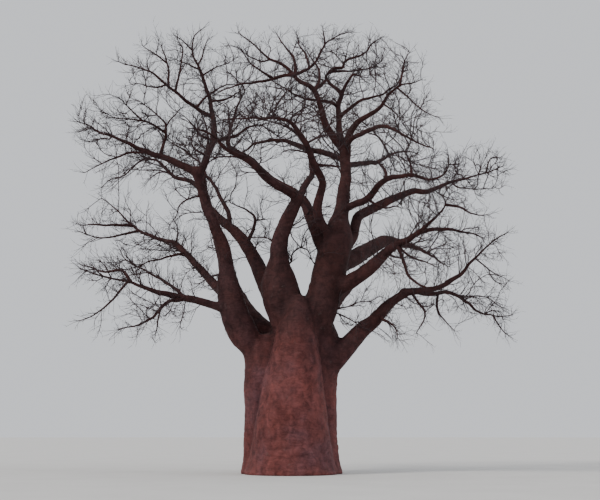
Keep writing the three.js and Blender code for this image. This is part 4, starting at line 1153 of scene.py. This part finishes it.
twig_base, twig_dir = np.array(twig_base), np.array(twig_dir)
twig_r, twig_lift, twig_tint = np.array(twig_r), np.array(twig_lift), np.array(twig_tint)


def unit(v):
    return v / np.maximum(np.linalg.norm(v, axis=1), 1e-9)[:, None]


def grow_twigs(base, along_dir, lift, length, points, spread, crook, end=None):
    """Short crooked shoots, all at once: (N, points, 3)."""
    n = len(base)
    side = unit(np.cross(along_dir, rng.normal(size=(n, 3))))
    d = unit(along_dir * (1 - spread)[:, None] + side * spread[:, None] + np.array([0, 0, 1.0]) * (0.30 * lift)[:, None])
    out = [base]
    for _ in range(points - 1):
        d = unit(d + crook * rng.normal(size=(n, 3)) + np.array([0, 0, 0.14]) * lift[:, None])
        out.append(out[-1] + d * (length / (points - 1))[:, None])
    return np.stack(out, 1)


def within(lines):
    """Twigs that would stand out of the tree's box are shorter."""
    foot, tip = lines[:, :1], lines[:, -1:]
    run = tip - foot
    room = np.where(run > 0, HIGH + np.array(OVERHANG) - foot, LOW - np.array(OVERHANG) - foot)
    share = np.clip((room / np.where(np.abs(run) < 1e-6, 1e-6, run)).min(2), 0.15, 1)
    return foot + (lines - foot) * share[:, :, None]


def shoots(lines, radius):
    """Closed three-sided tubes that run to a point."""
    n, k, _ = lines.shape
    t = np.gradient(lines, axis=1)
    t /= np.maximum(np.linalg.norm(t, axis=2), 1e-9)[..., None]
    ref = unit(np.cross(t[:, 0], rng.normal(size=(n, 3))))
    U = ref[:, None, :] - (ref[:, None, :] * t).sum(2)[..., None] * t
    U /= np.maximum(np.linalg.norm(U, axis=2), 1e-9)[..., None]
    V = np.cross(t, U)
    rings = []
    for j in range(3):
        a = 2 * np.pi * j / 3
        rings.append(np.cos(a) * U + np.sin(a) * V)
    ring = np.stack(rings, 2)[:, :k - 1]
    thick = radius[:, None] * np.linspace(1, 0.62, k - 1)[None, :]
    p = lines[:, :k - 1, None, :] + ring * thick[:, :, None, None]
    p = np.concatenate([p.reshape(n, -1, 3), lines[:, -1:, :]], 1)
    m = p.shape[1]
    f = []
    for s in range(k - 2):
        for j in range(3):
            a, b = 3 * s + j, 3 * s + (j + 1) % 3
            f += [(a, b, b + 3), (a, b + 3, a + 3)]
    for j in range(3):
        f.append((3 * (k - 2) + j, 3 * (k - 2) + (j + 1) % 3, m - 1))
    f.append((2, 1, 0))
    f = np.array(f)[None] + (np.arange(n) * m)[:, None, None]
    return p.reshape(-1, 3), f.reshape(-1, 3)


is_tip = twig_tint >= 10
twig_tint = np.where(is_tip, twig_tint - 10, twig_tint)
length = TWIG_LEN[0] + (TWIG_LEN[1] - TWIG_LEN[0]) * rng.random(len(twig_base)) ** 1.4
spread = np.where(is_tip, 0.12, rng.uniform(0.30, 0.58, len(twig_base)))
twigs = within(grow_twigs(twig_base, twig_dir, twig_lift, length, 4, spread, 0.11))

pieces = [bark]
outer_piece = outer.build("boughs_outer", bark_skin)
for i, group in enumerate(branches):
    pieces.append(group.build(f"branches_{i + 1}", branch_skin))


def share_out(label, lines, radius, tints):
    for key_index, key in enumerate(keys):
        pick = np.nonzero(tints == key_index)[0]
        per = 6 * (lines.shape[1] - 2) + 4
        most = 195000 // per
        parts = max(1, -(-len(pick) // most))
        for part in range(parts):
            chosen = pick[part::parts]
            if len(chosen) == 0:
                continue
            p, f = shoots(lines[chosen], radius[chosen])
            name = f"{label}_{key}" + (f"_{part + 1}" if parts > 1 else "")
            pieces.append(new_mesh(name, p, f, twig_skins[key]))


share_out("twigs", twigs, twig_r, twig_tint)

# spurs on the twigs
spur_base, spur_dir, spur_lift, spur_tint, spur_r = [], [], [], [], []
for seg, chance in ((1, 0.55), (2, 0.75)):
    f = rng.random(len(twigs))
    pick = rng.random(len(twigs)) < chance
    a, b = twigs[:, seg], twigs[:, seg + 1]
    spur_base.append((a + (b - a) * f[:, None] * 0.9)[pick])
    spur_dir.append(unit(b - a)[pick])
    spur_lift.append(twig_lift[pick])
    spur_tint.append(twig_tint[pick])
    spur_r.append(twig_r[pick] * 0.72)
spur_base, spur_dir = np.vstack(spur_base), np.vstack(spur_dir)
spur_lift, spur_tint, spur_r = (np.concatenate(v) for v in (spur_lift, spur_tint, spur_r))
length = SPUR_LEN[0] + (SPUR_LEN[1] - SPUR_LEN[0]) * rng.random(len(spur_base))
spurs = within(grow_twigs(spur_base, spur_dir, spur_lift, length, 3, rng.uniform(0.32, 0.60, len(spur_base)), 0.12))
share_out("spurs", spurs, spur_r, spur_tint)

# ------------------------------------------------------ what stands for what
boughs = [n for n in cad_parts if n.startswith("bough")]
masses = [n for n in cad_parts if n.startswith("twigs")]
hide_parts("trunk", *boughs)
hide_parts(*masses)
for piece in pieces + [outer_piece]:
    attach(piece, "root")

# --------------------------------------------------------- floor and light
floor_mat, nodes, links, bsdf = shader("floor", 0.9)
where = nodes.new("ShaderNodeTexCoord").outputs["Object"]
tone = ramp(nodes, [(0.3, (0.60, 0.59, 0.57)), (0.7, (0.64, 0.63, 0.61))])
links.new(noise_node(nodes, links, where, 0.4, 3), tone.inputs["Fac"])
links.new(tone.outputs["Color"], bsdf.inputs["Base Color"])
segments = 96
ring = np.array([(400 * math.cos(2 * math.pi * k / segments), 400 * math.sin(2 * math.pi * k / segments), 0.0) for k in range(segments)])
floor = new_mesh("floor", ring - np.array([0, 0, 0.002]), np.arange(segments)[None, :], floor_mat, False)

world = bpy.data.worlds.new("sky") if bpy.context.scene.world is None else bpy.context.scene.world
bpy.context.scene.world = world
world.use_nodes = True
world.node_tree.nodes["Background"].inputs["Color"].default_value = (0.80, 0.82, 0.86, 1)
world.node_tree.nodes["Background"].inputs["Strength"].default_value = 1.0


def sun(name, azimuth, height, strength, angle, colour):
    data = bpy.data.lights.new(name, "SUN")
    data.energy = strength
    data.angle = math.radians(angle)
    data.color = colour
    obj = bpy.data.objects.new(name, data)
    bpy.context.collection.objects.link(obj)
    a, h = math.radians(azimuth), math.radians(height)
    towards = Vector((math.cos(h) * math.cos(a), math.cos(h) * math.sin(a), math.sin(h)))
    obj.rotation_euler = towards.to_track_quat("Z", "Y").to_euler()
    return obj


sun("key", 218, 38, 1.9, 14, (1.0, 0.95, 0.9))
sun("fill", -20, 30, 0.5, 30, (0.92, 0.95, 1.0))
